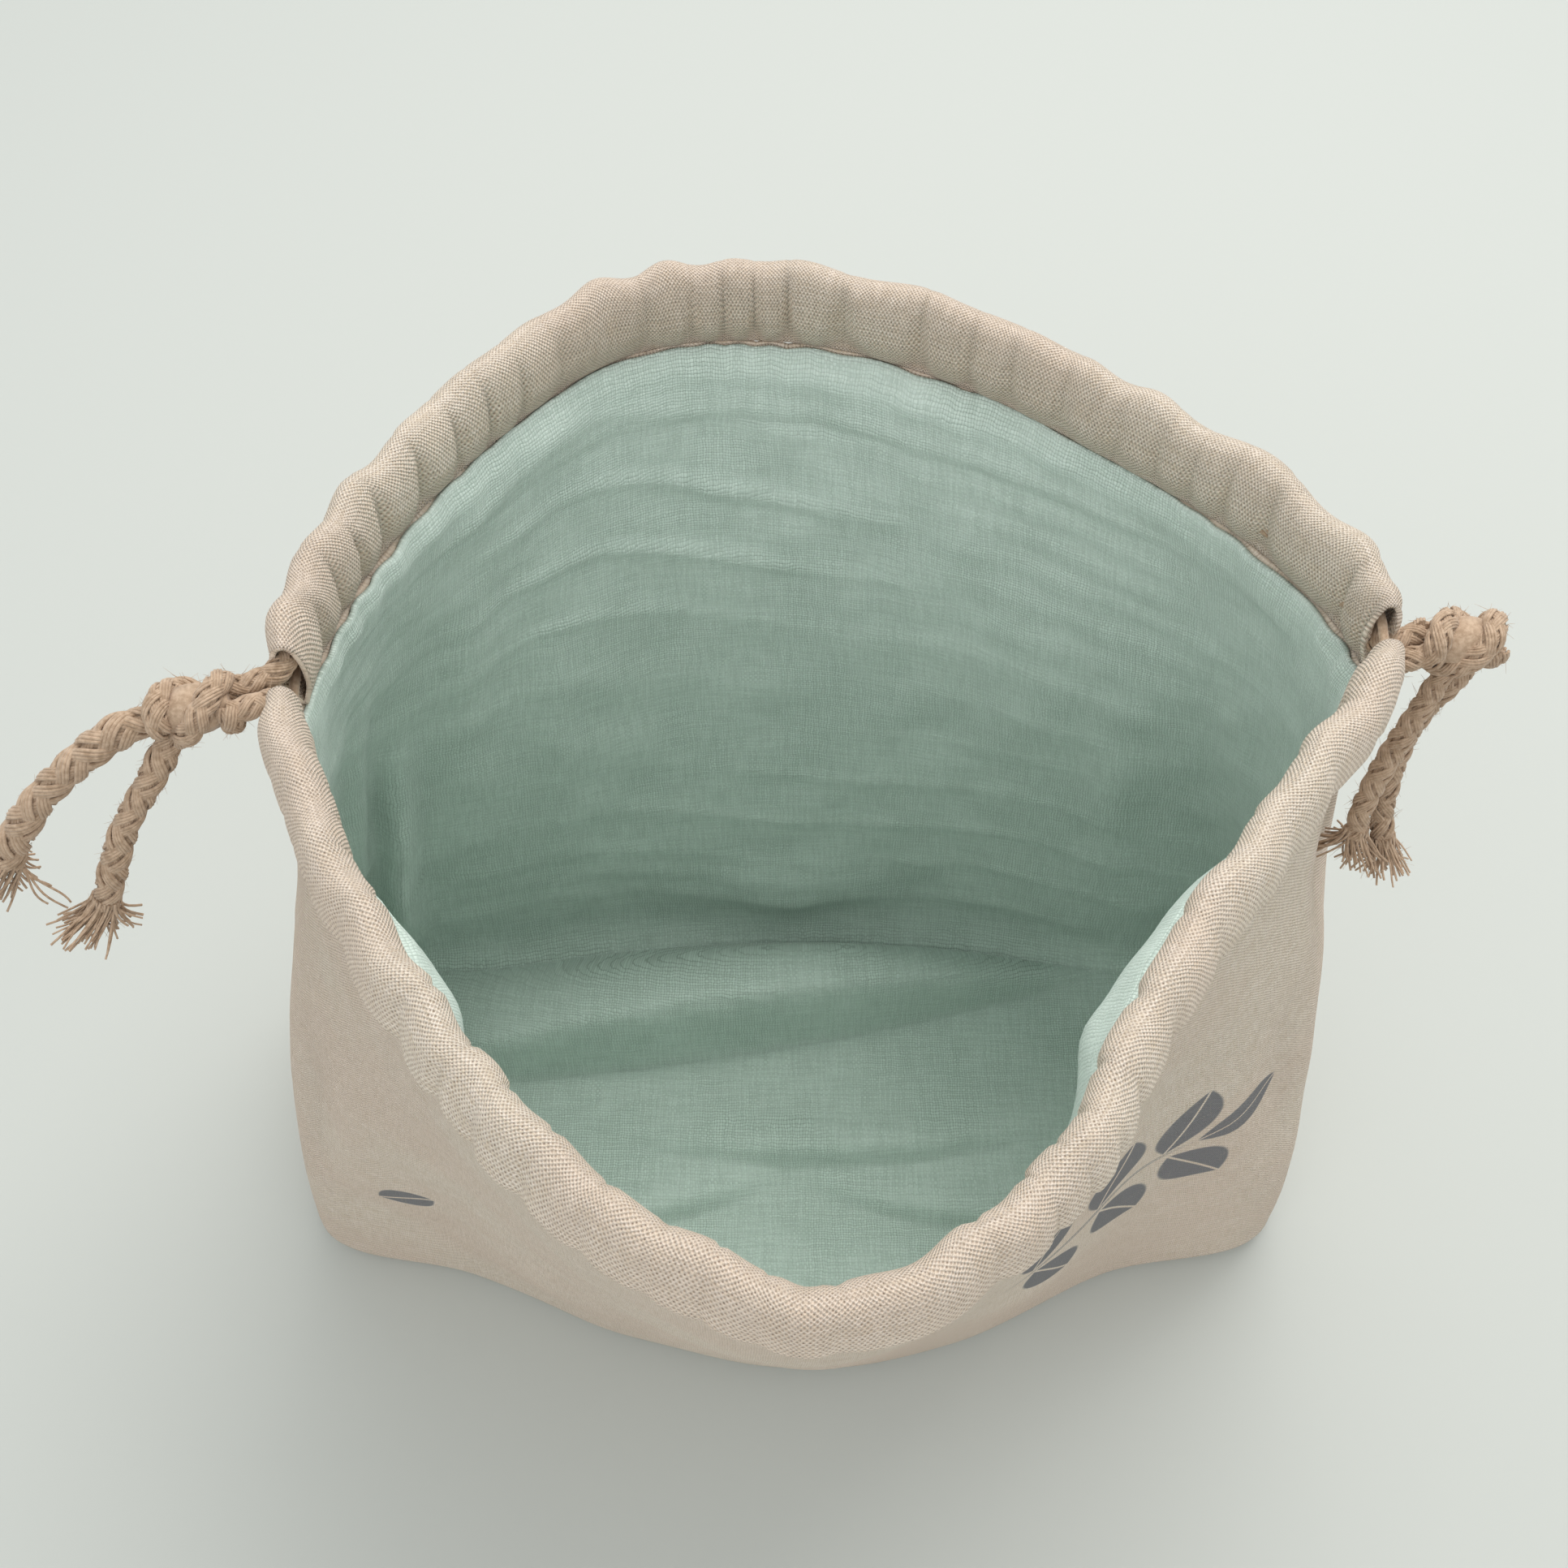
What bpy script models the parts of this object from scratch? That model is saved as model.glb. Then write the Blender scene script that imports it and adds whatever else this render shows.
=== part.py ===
"""Open drawstring storage bag: canvas outside, muslin lining, rope drawstrings.

The bag stands on its flat base with its mouth open. X runs along the wide side,
Y from the front to the back, Z up, and the origin is in the middle of the base.
"""

import math

import bmesh
import bpy
import numpy as np

# Base, where the bag stands
BASE_HALF_WIDTH = 0.1315
BASE_FRONT = 0.0765
BASE_BACK = 0.059
BASE_EDGE_RADIUS = 0.006
LINING_EDGE_RADIUS = 0.016

# Mouth, measured at the middle of the wall
MOUTH_LEFT = 0.0965
MOUTH_RIGHT = 0.1095
MOUTH_BACK = 0.0890
MOUTH_FRONT = 0.1285
WALL_HEIGHT = 0.2135

# Cloth
CANVAS_THICKNESS = 0.0015
LINING_THICKNESS = 0.0010
SEAM_GAP = 0.0003

# Rope, and the casing that it runs in
ROPE_DIAMETER = 0.005
ROPE_CLEARANCE = 0.0005
ROPE_SPACING = 0.0061
ROPE_LEVEL = 0.0094
CASING_HEIGHT = 0.020
CASING_WALL = 0.0010
CASING_OPENING = 0.015
EXIT_LEAD = 0.0018
EXIT_BEND = 0.0045
GATHER_DEPTH = 0.0009
GATHER_BEAT = 0.13
KNOT_LENGTH = 0.0175
KNOT_DIAMETER = 0.0135
FRAY_LENGTH = 0.011
FRAY_SPREAD = 0.0090
FRAY_RINGS = (0.0, 0.25, 0.6, 1.0)

# Steps of the meshes, and of the ropes' points
COLUMNS = 64
CASING_STEPS = 32
EXIT_STEPS = 5
ROPE_STEP = 0.011
FRAY_SIDES = 10
FLOOR_RINGS = (0.0, 0.22, 0.46, 0.72)

# One row for each sixteenth of the cloth round the bag, from the right seam by the
# back. The plan columns are shares of the base's and the mouth's sizes above, and
# lean is how far the casing's top stands inside its bottom, as a share of its height.
OUTLINE = (
    # base_x, base_y, mouth_x, mouth_y, lean
    (1.00, 0.00, 0.99, -0.020, 0.00),
    (0.975, 0.745, 0.86, 0.315, 0.00),
    (0.655, 0.865, 0.60, 0.600, 0.00),
    (0.330, 0.965, 0.31, 0.845, 0.00),
    (0.000, 1.000, -0.02, 0.985, 0.00),
    (-0.330, 0.965, -0.39, 0.935, 0.00),
    (-0.655, 0.865, -0.68, 0.640, 0.00),
    (-0.975, 0.745, -0.90, 0.260, 0.00),
    (-1.00, 0.00, -0.975, -0.100, 0.02),
    (-0.975, -0.535, -0.850, -0.388, 0.08),
    (-0.655, -0.685, -0.635, -0.660, 0.20),
    (-0.340, -0.890, -0.350, -0.888, 0.22),
    (0.015, -1.000, 0.045, -1.000, 0.06),
    (0.330, -0.915, 0.37, -0.845, 0.12),
    (0.645, -0.680, 0.57, -0.570, 0.14),
    (0.975, -0.535, 0.795, -0.300, 0.08),
)

# How far each side of the wall has moved from the base's outline to the mouth's, a
# row for each height as a share of the wall's.
PROFILE = (
    # height, side, front, back
    (0.00, 0.00, 0.00, 0.00),
    (0.13, 0.02, 0.14, 0.09),
    (0.28, 0.11, 0.30, 0.17),
    (0.42, 0.25, 0.45, 0.27),
    (0.56, 0.40, 0.60, 0.39),
    (0.70, 0.60, 0.74, 0.55),
    (0.84, 0.80, 0.87, 0.76),
    (1.00, 1.00, 1.00, 1.00),
)

# Heights of the wall's rows above the rounded base edge, as shares of its height
WALL_ROWS = (0.12, 0.26, 0.41, 0.57, 0.73, 0.87, 1.0)

# Soft dents of the wall, positive inwards: place round the bag and its width as
# shares of a turn, middle height and its reach as shares of the wall's, and depth.
DENTS = (
    # turn, turn_width, height, reach, depth
    (0.055, 0.030, 0.40, 0.30, 0.0035),
    (0.150, 0.035, 0.62, 0.24, 0.0022),
    (0.330, 0.040, 0.55, 0.28, 0.0025),
    (0.445, 0.030, 0.42, 0.30, 0.0035),
    (0.560, 0.028, 0.48, 0.32, 0.0040),
    (0.660, 0.040, 0.30, 0.22, -0.0025),
    (0.750, 0.030, 0.80, 0.25, 0.0022),
    (0.840, 0.040, 0.35, 0.25, -0.0025),
    (0.935, 0.028, 0.50, 0.32, 0.0040),
    (0.980, 0.034, 0.80, 0.24, 0.0050),
)

# Folds of the lining: tucks that stand out of its wall, in the dents' columns, with
# the depth from the wall inwards.
TUCKS = (
    # turn, turn_width, height, reach, depth
    (0.535, 0.014, 0.62, 0.26, 0.0100),
    (0.965, 0.013, 0.55, 0.24, 0.0060),
    (0.420, 0.020, 0.25, 0.22, 0.0060),
    (0.250, 0.060, 0.12, 0.10, 0.0050),
    (0.905, 0.090, 0.83, 0.17, 0.0085),
    (0.580, 0.055, 0.82, 0.17, 0.0065),
)

# Folds of the lining's floor: middle, half length and half width as shares of the
# base's half width, direction in degrees, and height.
FLOOR_FOLDS = (
    # x, y, half_length, half_width, direction, height
    (-0.16, 0.14, 0.75, 0.17, 14.0, 0.0170),
    (0.30, -0.20, 0.45, 0.09, -10.0, 0.0060),
    (-0.25, -0.28, 0.35, 0.08, 12.0, 0.0050),
)

# Free ends of the rope: route points in metres from the knot's middle, chosen by hand
TAIL_ROUTES = {
    "tail_left_outer": (
        (-0.0090, -0.0020, -0.0010),
        (-0.0145, -0.0037, -0.0024),
        (-0.0220, -0.0070, -0.0067),
        (-0.0300, -0.0104, -0.0132),
        (-0.0365, -0.0132, -0.0212),
        (-0.0408, -0.0152, -0.0282),
    ),
    "tail_left_inner": (
        (-0.0052, -0.0042, -0.0048),
        (-0.0096, -0.0082, -0.0109),
        (-0.0160, -0.0128, -0.0197),
        (-0.0205, -0.0170, -0.0292),
        (-0.0238, -0.0197, -0.0374),
    ),
    "tail_right_outer": (
        (0.0042, 0.0008, -0.0074),
        (0.0024, -0.0004, -0.0120),
        (-0.0013, -0.0016, -0.0215),
        (-0.0038, -0.0046, -0.0305),
        (-0.0050, -0.0096, -0.0395),
        (-0.0046, -0.0132, -0.0450),
        (-0.0036, -0.0152, -0.0490),
    ),
    "tail_right_inner": (
        (-0.0018, -0.0030, -0.0068),
        (-0.0038, -0.0051, -0.0135),
        (-0.0066, -0.0079, -0.0235),
        (-0.0090, -0.0109, -0.0315),
        (-0.0104, -0.0136, -0.0395),
        (-0.0102, -0.0154, -0.0450),
    ),
}
# Middles of the knots, outwards from the mouth's side, along Y, and above the wall
KNOT_OFFSETS = {"left": (-0.0135, -0.0168, 0.0107), "right": (0.0143, 0.0004, 0.0080)}
KNOT_DIRECTIONS = {"left": (-0.97, -0.20, -0.10), "right": (0.985, 0.10, 0.00)}

# Colour, roughness
MATERIALS = {
    "canvas": ((0.62, 0.53, 0.43, 1.0), 0.9),
    "muslin": ((0.36, 0.50, 0.42, 1.0), 0.9),
    "rope": ((0.48, 0.33, 0.21, 1.0), 0.85),
}


def clear_scene():
    for obj in list(bpy.data.objects):
        bpy.data.objects.remove(obj, do_unlink=True)


def material(name):
    found = bpy.data.materials.get(name)
    if found:
        return found
    colour, roughness = MATERIALS[name]
    made = bpy.data.materials.new(name)
    made.use_nodes = True
    shader = made.node_tree.nodes["Principled BSDF"]
    shader.inputs["Base Color"].default_value = colour
    shader.inputs["Roughness"].default_value = roughness
    shader.inputs["Metallic"].default_value = 0.0
    return made


def finish_mesh(name, bm, material_name):
    """Turns a closed bmesh into a shaded object of that name."""
    bmesh.ops.remove_doubles(bm, verts=bm.verts[:], dist=1e-6)
    bmesh.ops.recalc_face_normals(bm, faces=bm.faces[:])
    if bm.calc_volume(signed=True) < 0:
        bmesh.ops.reverse_faces(bm, faces=bm.faces[:])
    mesh = bpy.data.meshes.new(name)
    bm.to_mesh(mesh)
    bm.free()
    mesh.shade_smooth()
    mesh.set_sharp_from_angle(angle=math.radians(50))
    mesh.materials.append(material(material_name))
    obj = bpy.data.objects.new(name, mesh)
    bpy.context.scene.collection.objects.link(obj)
    return obj


def lofted_bmesh(rows, around):
    """A tube through rows of points, each a closed loop.

    Its faces are triangles with all diagonals turned the same way, so that two cloths
    with the same rows lie on each other evenly.
    """
    bm = bmesh.new()
    bmesh.ops.create_grid(bm, x_segments=around, y_segments=len(rows) - 1, size=0.5)
    for vert in bm.verts:
        column = round((vert.co.x + 0.5) * around) % around
        row = round((vert.co.y + 0.5) * (len(rows) - 1))
        vert.co = rows[row][column]
    bmesh.ops.triangulate(bm, faces=bm.faces[:], quad_method="FIXED")
    bmesh.ops.remove_doubles(bm, verts=bm.verts[:], dist=1e-6)
    return bm


def fill_ends(bm):
    open_edges = [edge for edge in bm.edges if edge.is_boundary]
    bmesh.ops.holes_fill(bm, edges=open_edges, sides=0)


def periodic_curve(rows, turn):
    """A smooth closed curve through the rows, at a share of a turn."""
    rows = np.asarray(rows, float)
    place = (turn % 1.0) * len(rows)
    first = int(math.floor(place))
    t = place - first
    a, b, c, d = (rows[(first + k) % len(rows)] for k in (-1, 0, 1, 2))
    return 0.5 * (
        2 * b
        + (c - a) * t
        + (2 * a - 5 * b + 4 * c - d) * t ** 2
        + (3 * b - a - 3 * c + d) * t ** 3
    )


def scaled(x, y, left, right, front, back):
    """A plan point from its shares of the sizes on each side."""
    return np.array([x * (right if x > 0 else left), y * (back if y > 0 else front)])


def wall_plan(turn, share):
    """Plan point of the wall at this share of its height."""
    base_x, base_y, mouth_x, mouth_y, _ = periodic_curve(OUTLINE, turn)
    base = scaled(base_x, base_y, BASE_HALF_WIDTH, BASE_HALF_WIDTH, BASE_FRONT, BASE_BACK)
    mouth = scaled(mouth_x, mouth_y, MOUTH_LEFT, MOUTH_RIGHT, MOUTH_FRONT, MOUTH_BACK)
    heights, side, front, back = np.asarray(PROFILE).T
    facing = math.sin(2 * math.pi * turn)
    along = front if facing < 0 else back
    moved = side + (along - side) * facing ** 2
    moved = np.interp(share, heights, moved)
    return base + (mouth - base) * moved


def soft_bump(distance):
    """1 at the middle and 0 at a distance of 1, with a smooth edge."""
    return math.cos(0.5 * math.pi * min(1.0, abs(distance))) ** 2


def folds_at(folds, turn, share):
    """Sum of the dents or tucks at this place on the wall."""
    depth = 0.0
    for middle, width, height, reach, most in folds:
        round_distance = abs((turn - middle + 0.5) % 1.0 - 0.5) / width
        depth += most * soft_bump(round_distance) * soft_bump((share - height) / reach)
    return depth


def edge_inset(height, radius):
    """How far a rounded base edge stands inside the outline."""
    below = min(max(0.0, radius - height), radius)
    return radius - math.sqrt(radius ** 2 - below ** 2)


def plan_normal(turn, share):
    """Unit plan vector that points out of the wall."""
    ahead = wall_plan(turn + 1 / COLUMNS, share)
    behind = wall_plan(turn - 1 / COLUMNS, share)
    along = ahead - behind
    along /= np.linalg.norm(along)
    return np.array([along[1], -along[0]])


def wall_point(turn, height, inset, radius, tucks):
    """A point inside the outer face of the wall by that inset."""
    share = height / WALL_HEIGHT
    normal = plan_normal(turn, share)
    depth = inset + edge_inset(height, radius) + folds_at(DENTS, turn, share)
    depth += folds_at(tucks, turn, share)
    plan = wall_plan(turn, share) - normal * depth
    return (plan[0], plan[1], height)


def wall_heights(bottom, radius):
    """Heights of a wall's rows from its own bottom to its top."""
    rounded = [bottom, bottom + 0.3 * radius, bottom + radius]
    return rounded + [share * WALL_HEIGHT for share in WALL_ROWS]


def wall_rings(inset, radius, tucks=()):
    """Rows of one face of a wall, from its bottom to its top."""
    return [
        [wall_point(i / COLUMNS, height, inset, radius, tucks) for i in range(COLUMNS)]
        for height in wall_heights(inset, radius)
    ]


def make_outer_shell():
    outside = wall_rings(0.0, BASE_EDGE_RADIUS)
    inside = wall_rings(CANVAS_THICKNESS, BASE_EDGE_RADIUS)
    bm = lofted_bmesh(outside + inside[::-1], COLUMNS)
    fill_ends(bm)
    return finish_mesh("outer_shell", bm, "canvas")


def floor_height(x, y):
    """How far the lining's floor is folded up at this plan point."""
    up = 0.0
    for fold_x, fold_y, half_length, half_width, direction, height in FLOOR_FOLDS:
        away_x = x / BASE_HALF_WIDTH - fold_x
        away_y = y / BASE_HALF_WIDTH - fold_y
        turn = math.radians(direction)
        along = (away_x * math.cos(turn) + away_y * math.sin(turn)) / half_length
        across = (away_y * math.cos(turn) - away_x * math.sin(turn)) / half_width
        up += height * soft_bump(along) * soft_bump(across)
    return up


def floor_ring(edge_ring, share):
    """The edge ring drawn in towards the middle, and folded up."""
    middle_y = 0.5 * (BASE_BACK - BASE_FRONT)
    ring = []
    for x, y, z in edge_ring:
        x = x * share
        y = middle_y + (y - middle_y) * share
        ring.append((x, y, z + floor_height(x, y) * (1.0 - share ** 4)))
    return ring


def lining_face(inset):
    """Rows of one face of the lining, from the middle of its floor to its top."""
    wall = wall_rings(inset, LINING_EDGE_RADIUS, TUCKS)
    floor = [floor_ring(wall[0], share) for share in FLOOR_RINGS]
    return floor + wall


def make_lining():
    outer_inset = CANVAS_THICKNESS + SEAM_GAP
    inner_inset = outer_inset + LINING_THICKNESS
    rows = lining_face(inner_inset) + lining_face(outer_inset)[::-1]
    bm = lofted_bmesh(rows, COLUMNS)
    return finish_mesh("lining", bm, "muslin")


def mouth_length():
    ring = np.array([wall_plan(i / COLUMNS, 1.0) for i in range(COLUMNS + 1)])
    return float(np.linalg.norm(np.diff(ring, axis=0), axis=1).sum())


def opening_turn():
    """Half of a side opening, as a share of a turn."""
    return 0.5 * CASING_OPENING / mouth_length()


def casing_turns(start):
    """Places round the mouth of the casing's sections, on the half from start."""
    edge = opening_turn()
    span = 0.5 - 2 * edge
    return [start + edge + span * i / CASING_STEPS for i in range(CASING_STEPS + 1)]


# Section of the casing: shares of half its thickness and of its height
CASING_SECTION = (
    (0.45, 0.00),
    (0.97, 0.27),
    (1.00, 0.66),
    (0.55, 0.96),
    (-0.55, 0.96),
    (-1.00, 0.66),
    (-0.97, 0.27),
    (-0.45, 0.00),
)


def gather(step):
    """Waves of the gathered cloth along the casing, from 0 to 1."""
    return 0.5 - 0.5 * math.cos(0.5 * math.pi * step) * math.cos(GATHER_BEAT * step)


def casing_plan(turn, up):
    """Middle of the casing's thickness, that far above its bottom."""
    lean = periodic_curve(OUTLINE, turn)[4]
    return wall_plan(turn, 1.0) - plan_normal(turn, 1.0) * lean * up


def casing_ring(turn, step, inset):
    """One section of the casing, drawn in by the inset on all sides."""
    normal = plan_normal(turn, 1.0)
    half = 0.5 * ROPE_DIAMETER + ROPE_CLEARANCE + CASING_WALL
    if inset == 0.0:
        half += GATHER_DEPTH * gather(step)
    bottom = WALL_HEIGHT + SEAM_GAP
    middle = 0.5 * CASING_HEIGHT
    ring = []
    for across, up in CASING_SECTION:
        out = across * (half - inset)
        height = middle + (up * CASING_HEIGHT - middle) * (1 - inset / middle)
        plan = casing_plan(turn, height) + normal * out
        ring.append((plan[0], plan[1], bottom + height))
    return ring


def make_casing(name, start):
    """A tunnel of canvas along half of the mouth, open at both ends."""
    turns = casing_turns(start)
    outside = [casing_ring(turn, i, 0.0) for i, turn in enumerate(turns)]
    inside = [casing_ring(turn, i, CASING_WALL) for i, turn in enumerate(turns)]
    bm = lofted_bmesh(outside + inside[::-1], len(CASING_SECTION))
    open_edges = [edge for edge in bm.edges if edge.is_boundary]
    bmesh.ops.bridge_loops(bm, edges=open_edges)
    return finish_mesh(name, bm, "canvas")


def smooth_route(points, spacing):
    """Evenly spaced points on a smooth curve through the route's points."""
    points = np.asarray(points, float)
    padded = np.vstack([2 * points[0] - points[1], points, 2 * points[-1] - points[-2]])
    fine = []
    for i in range(len(points) - 1):
        a, b, c, d = padded[i:i + 4]
        for t in np.linspace(0, 1, 24, endpoint=False):
            fine.append(
                0.5
                * (
                    2 * b
                    + (c - a) * t
                    + (2 * a - 5 * b + 4 * c - d) * t ** 2
                    + (3 * b - a - 3 * c + d) * t ** 3
                )
            )
    fine = np.array(fine + [points[-1]])
    length = np.concatenate([[0], np.cumsum(np.linalg.norm(np.diff(fine, axis=0), axis=1))])
    count = max(3, round(length[-1] / spacing) + 1)
    wanted = np.linspace(0, length[-1], count)
    return np.array([np.interp(wanted, length, fine[:, k]) for k in range(3)]).T


def make_rope(name, points):
    """A round rope along the points."""
    curve = bpy.data.curves.new(name, "CURVE")
    curve.dimensions = "3D"
    curve.bevel_depth = 0.5 * ROPE_DIAMETER
    curve.bevel_resolution = 2
    curve.use_fill_caps = True
    spline = curve.splines.new("POLY")
    spline.points.add(len(points) - 1)
    for spot, place in zip(spline.points, points):
        spot.co = (place[0], place[1], place[2], 1.0)
    curve.materials.append(material("rope"))
    obj = bpy.data.objects.new(name, curve)
    bpy.context.scene.collection.objects.link(obj)
    return obj


def rope_level(side):
    """Each drawstring keeps its own height in the casing, the left one above."""
    above = 0.5 * ROPE_SPACING if side == "left" else -0.5 * ROPE_SPACING
    return ROPE_LEVEL + above


def knot_middle(side):
    edge = -MOUTH_LEFT if side == "left" else MOUTH_RIGHT
    out, along, above = KNOT_OFFSETS[side]
    return np.array([edge + out, along, WALL_HEIGHT + above])


def unit(vector):
    vector = np.asarray(vector, float)
    return vector / np.linalg.norm(vector)


def rope_exit(side, inner, edge, other_edge):
    """From a casing's end out through the side opening and up to the knot."""
    direction = unit(KNOT_DIRECTIONS[side])
    beside = unit(np.cross(direction, (0, 0, 1)))
    if np.dot(edge - other_edge, beside) < 0:
        beside = -beside
    reach = 0.5 * KNOT_LENGTH + 2 * SEAM_GAP
    knot_end = knot_middle(side) - direction * reach
    touch = knot_end + beside * (0.5 * ROPE_DIAMETER + SEAM_GAP)
    out = unit(edge - inner)
    start = edge + out * EXIT_LEAD
    corners = (start, start + out * EXIT_BEND, touch - direction * EXIT_BEND, touch)
    steps = [k / EXIT_STEPS for k in range(EXIT_STEPS + 1)]
    weights = [((1 - t) ** 3, 3 * t * (1 - t) ** 2, 3 * t ** 2 * (1 - t), t ** 3) for t in steps]
    return [sum(w * corner for w, corner in zip(weight, corners)) for weight in weights]


def drawstring_points(side):
    """A loop through both casings, its two ends side by side at the knot."""
    level = rope_level(side)
    height = WALL_HEIGHT + SEAM_GAP + level
    halves = [casing_turns(0.0), casing_turns(0.5)]
    if side == "left":
        halves = [turns[::-1] for turns in halves]
    back, front = (
        [np.append(casing_plan(turn, level), height) for turn in turns] for turns in halves
    )
    start = rope_exit(side, back[1], back[0], front[-1])
    finish = rope_exit(side, front[-2], front[-1], back[0])
    return start[::-1] + back + front + finish


def make_knot(side):
    """An overhand knot of the doubled rope, as a ridged lump."""
    bm = bmesh.new()
    bmesh.ops.create_uvsphere(bm, u_segments=16, v_segments=9, radius=1.0)
    direction = unit(KNOT_DIRECTIONS[side])
    beside = unit(np.cross(direction, (0, 0, 1)))
    above = np.cross(beside, direction)
    middle = knot_middle(side)
    for vert in bm.verts:
        around = math.atan2(vert.co.y, vert.co.x)
        wrap = 1.0 + 0.07 * math.cos(3 * around + 5.0 * vert.co.z)
        ring = 0.5 * KNOT_DIAMETER * wrap
        place = (
            middle
            + direction * vert.co.z * 0.5 * KNOT_LENGTH
            + beside * vert.co.x * ring
            + above * vert.co.y * ring
        )
        vert.co = place
    return finish_mesh("knot_" + side, bm, "rope")


def make_fray(name, points):
    """The tail's loosened end: locks that spread from a head of the rope's size."""
    end = points[-1]
    direction = unit(end - points[-2])
    beside = unit(np.cross(direction, (0.3, 1.0, 0.2)))
    above = np.cross(beside, direction)
    rows = []
    for share in FRAY_RINGS:
        ring = []
        for i in range(FRAY_SIDES):
            around = 2 * math.pi * i / FRAY_SIDES
            lock = 0.5 + 0.5 * math.cos(0.5 * FRAY_SIDES * around)
            spread = 0.5 * (ROPE_DIAMETER + (FRAY_SPREAD - ROPE_DIAMETER) * share ** 1.3)
            radius = spread * (1.0 - 0.45 * (1 - lock) * share)
            length = SEAM_GAP + FRAY_LENGTH * share * (0.86 + 0.14 * lock)
            ring.append(
                end
                + direction * length
                + beside * radius * math.cos(around)
                + above * radius * math.sin(around)
            )
        rows.append(ring)
    bm = lofted_bmesh(rows, FRAY_SIDES)
    fill_ends(bm)
    return finish_mesh(name, bm, "rope")


def main():
    clear_scene()
    make_outer_shell()
    make_lining()
    make_casing("casing_back", 0.0)
    make_casing("casing_front", 0.5)
    for side in ("left", "right"):
        make_rope("drawstring_" + side, drawstring_points(side))
        make_knot(side)
    for name, route in TAIL_ROUTES.items():
        side = "left" if "left" in name else "right"
        points = smooth_route(knot_middle(side) + np.array(route), ROPE_STEP)
        make_rope(name, points)
        make_fray(name.replace("tail", "fray"), points)


main()
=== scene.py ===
"""Dresses the frame of an open drawstring storage bag.

Canvas walls, a gauze lining, gathered rope casings, braided rope with its knots and
frayed ends, and a plain studio. All sizes are in metres.
"""

import math

import bmesh
import bpy
import numpy as np
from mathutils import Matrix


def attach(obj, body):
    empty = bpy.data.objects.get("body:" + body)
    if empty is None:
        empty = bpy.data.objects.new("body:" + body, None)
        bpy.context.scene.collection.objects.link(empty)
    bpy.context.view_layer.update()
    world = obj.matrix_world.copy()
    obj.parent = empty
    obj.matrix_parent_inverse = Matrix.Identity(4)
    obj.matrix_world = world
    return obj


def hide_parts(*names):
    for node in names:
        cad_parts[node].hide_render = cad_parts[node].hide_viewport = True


bl_info = {
    "name": "Drawstring Storage Bag",
    "version": (1, 0, 0),
    "blender": (4, 5, 0),
    "location": "3D View > Sidebar > Storage Bag",
    "description": "Dresses an open drawstring bag with cloth, lining and braided rope",
    "category": "Object",
}

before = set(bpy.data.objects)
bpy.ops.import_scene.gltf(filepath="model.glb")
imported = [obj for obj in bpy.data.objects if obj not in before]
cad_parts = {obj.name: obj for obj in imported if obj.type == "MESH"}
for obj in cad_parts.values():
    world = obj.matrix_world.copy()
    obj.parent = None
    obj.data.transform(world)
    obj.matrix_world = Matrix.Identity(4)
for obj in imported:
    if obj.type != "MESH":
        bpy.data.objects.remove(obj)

# The frame's own sizes, as its source has them
BASE_HALF_WIDTH = 0.1315
BASE_FRONT = 0.0765
BASE_BACK = 0.059
BASE_EDGE_RADIUS = 0.006
LINING_EDGE_RADIUS = 0.016
MOUTH_LEFT = 0.0965
MOUTH_RIGHT = 0.1095
MOUTH_BACK = 0.0890
MOUTH_FRONT = 0.1285
WALL_HEIGHT = 0.2135
CANVAS_THICKNESS = 0.0015
LINING_THICKNESS = 0.0010
SEAM_GAP = 0.0003
ROPE_DIAMETER = 0.005
ROPE_CLEARANCE = 0.0005
ROPE_SPACING = 0.0061
ROPE_LEVEL = 0.0094
CASING_HEIGHT = 0.020
CASING_WALL = 0.0010
CASING_OPENING = 0.015
EXIT_LEAD = 0.0018
EXIT_BEND = 0.0045
KNOT_LENGTH = 0.0175
FRAY_LENGTH = 0.011
NORMAL_STEP = 1 / 64

# How many gathers the mouth has, how fine a braid's line is, and how thick the rope is
# where the casings hide it
GATHERS = 54
BRAID_STEP = 0.0006
HIDDEN_ROPE_RADIUS = 0.0010

# A row for each sixteenth of the cloth round the bag, from the right seam by the back
OUTLINE = (
    # base_x, base_y, mouth_x, mouth_y, lean
    (1.00, 0.00, 0.99, -0.020, 0.00),
    (0.975, 0.745, 0.86, 0.315, 0.00),
    (0.655, 0.865, 0.60, 0.600, 0.00),
    (0.330, 0.965, 0.31, 0.845, 0.00),
    (0.000, 1.000, -0.02, 0.985, 0.00),
    (-0.330, 0.965, -0.39, 0.935, 0.00),
    (-0.655, 0.865, -0.68, 0.640, 0.00),
    (-0.975, 0.745, -0.90, 0.260, 0.00),
    (-1.00, 0.00, -0.975, -0.100, 0.02),
    (-0.975, -0.535, -0.850, -0.388, 0.08),
    (-0.655, -0.685, -0.635, -0.660, 0.20),
    (-0.340, -0.890, -0.350, -0.888, 0.22),
    (0.015, -1.000, 0.045, -1.000, 0.06),
    (0.330, -0.915, 0.37, -0.845, 0.12),
    (0.645, -0.680, 0.57, -0.570, 0.14),
    (0.975, -0.535, 0.795, -0.300, 0.08),
)
PROFILE = (
    # height, side, front, back
    (0.00, 0.00, 0.00, 0.00),
    (0.13, 0.02, 0.14, 0.09),
    (0.28, 0.11, 0.30, 0.17),
    (0.42, 0.25, 0.45, 0.27),
    (0.56, 0.40, 0.60, 0.39),
    (0.70, 0.60, 0.74, 0.55),
    (0.84, 0.80, 0.87, 0.76),
    (1.00, 1.00, 1.00, 1.00),
)
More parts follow.
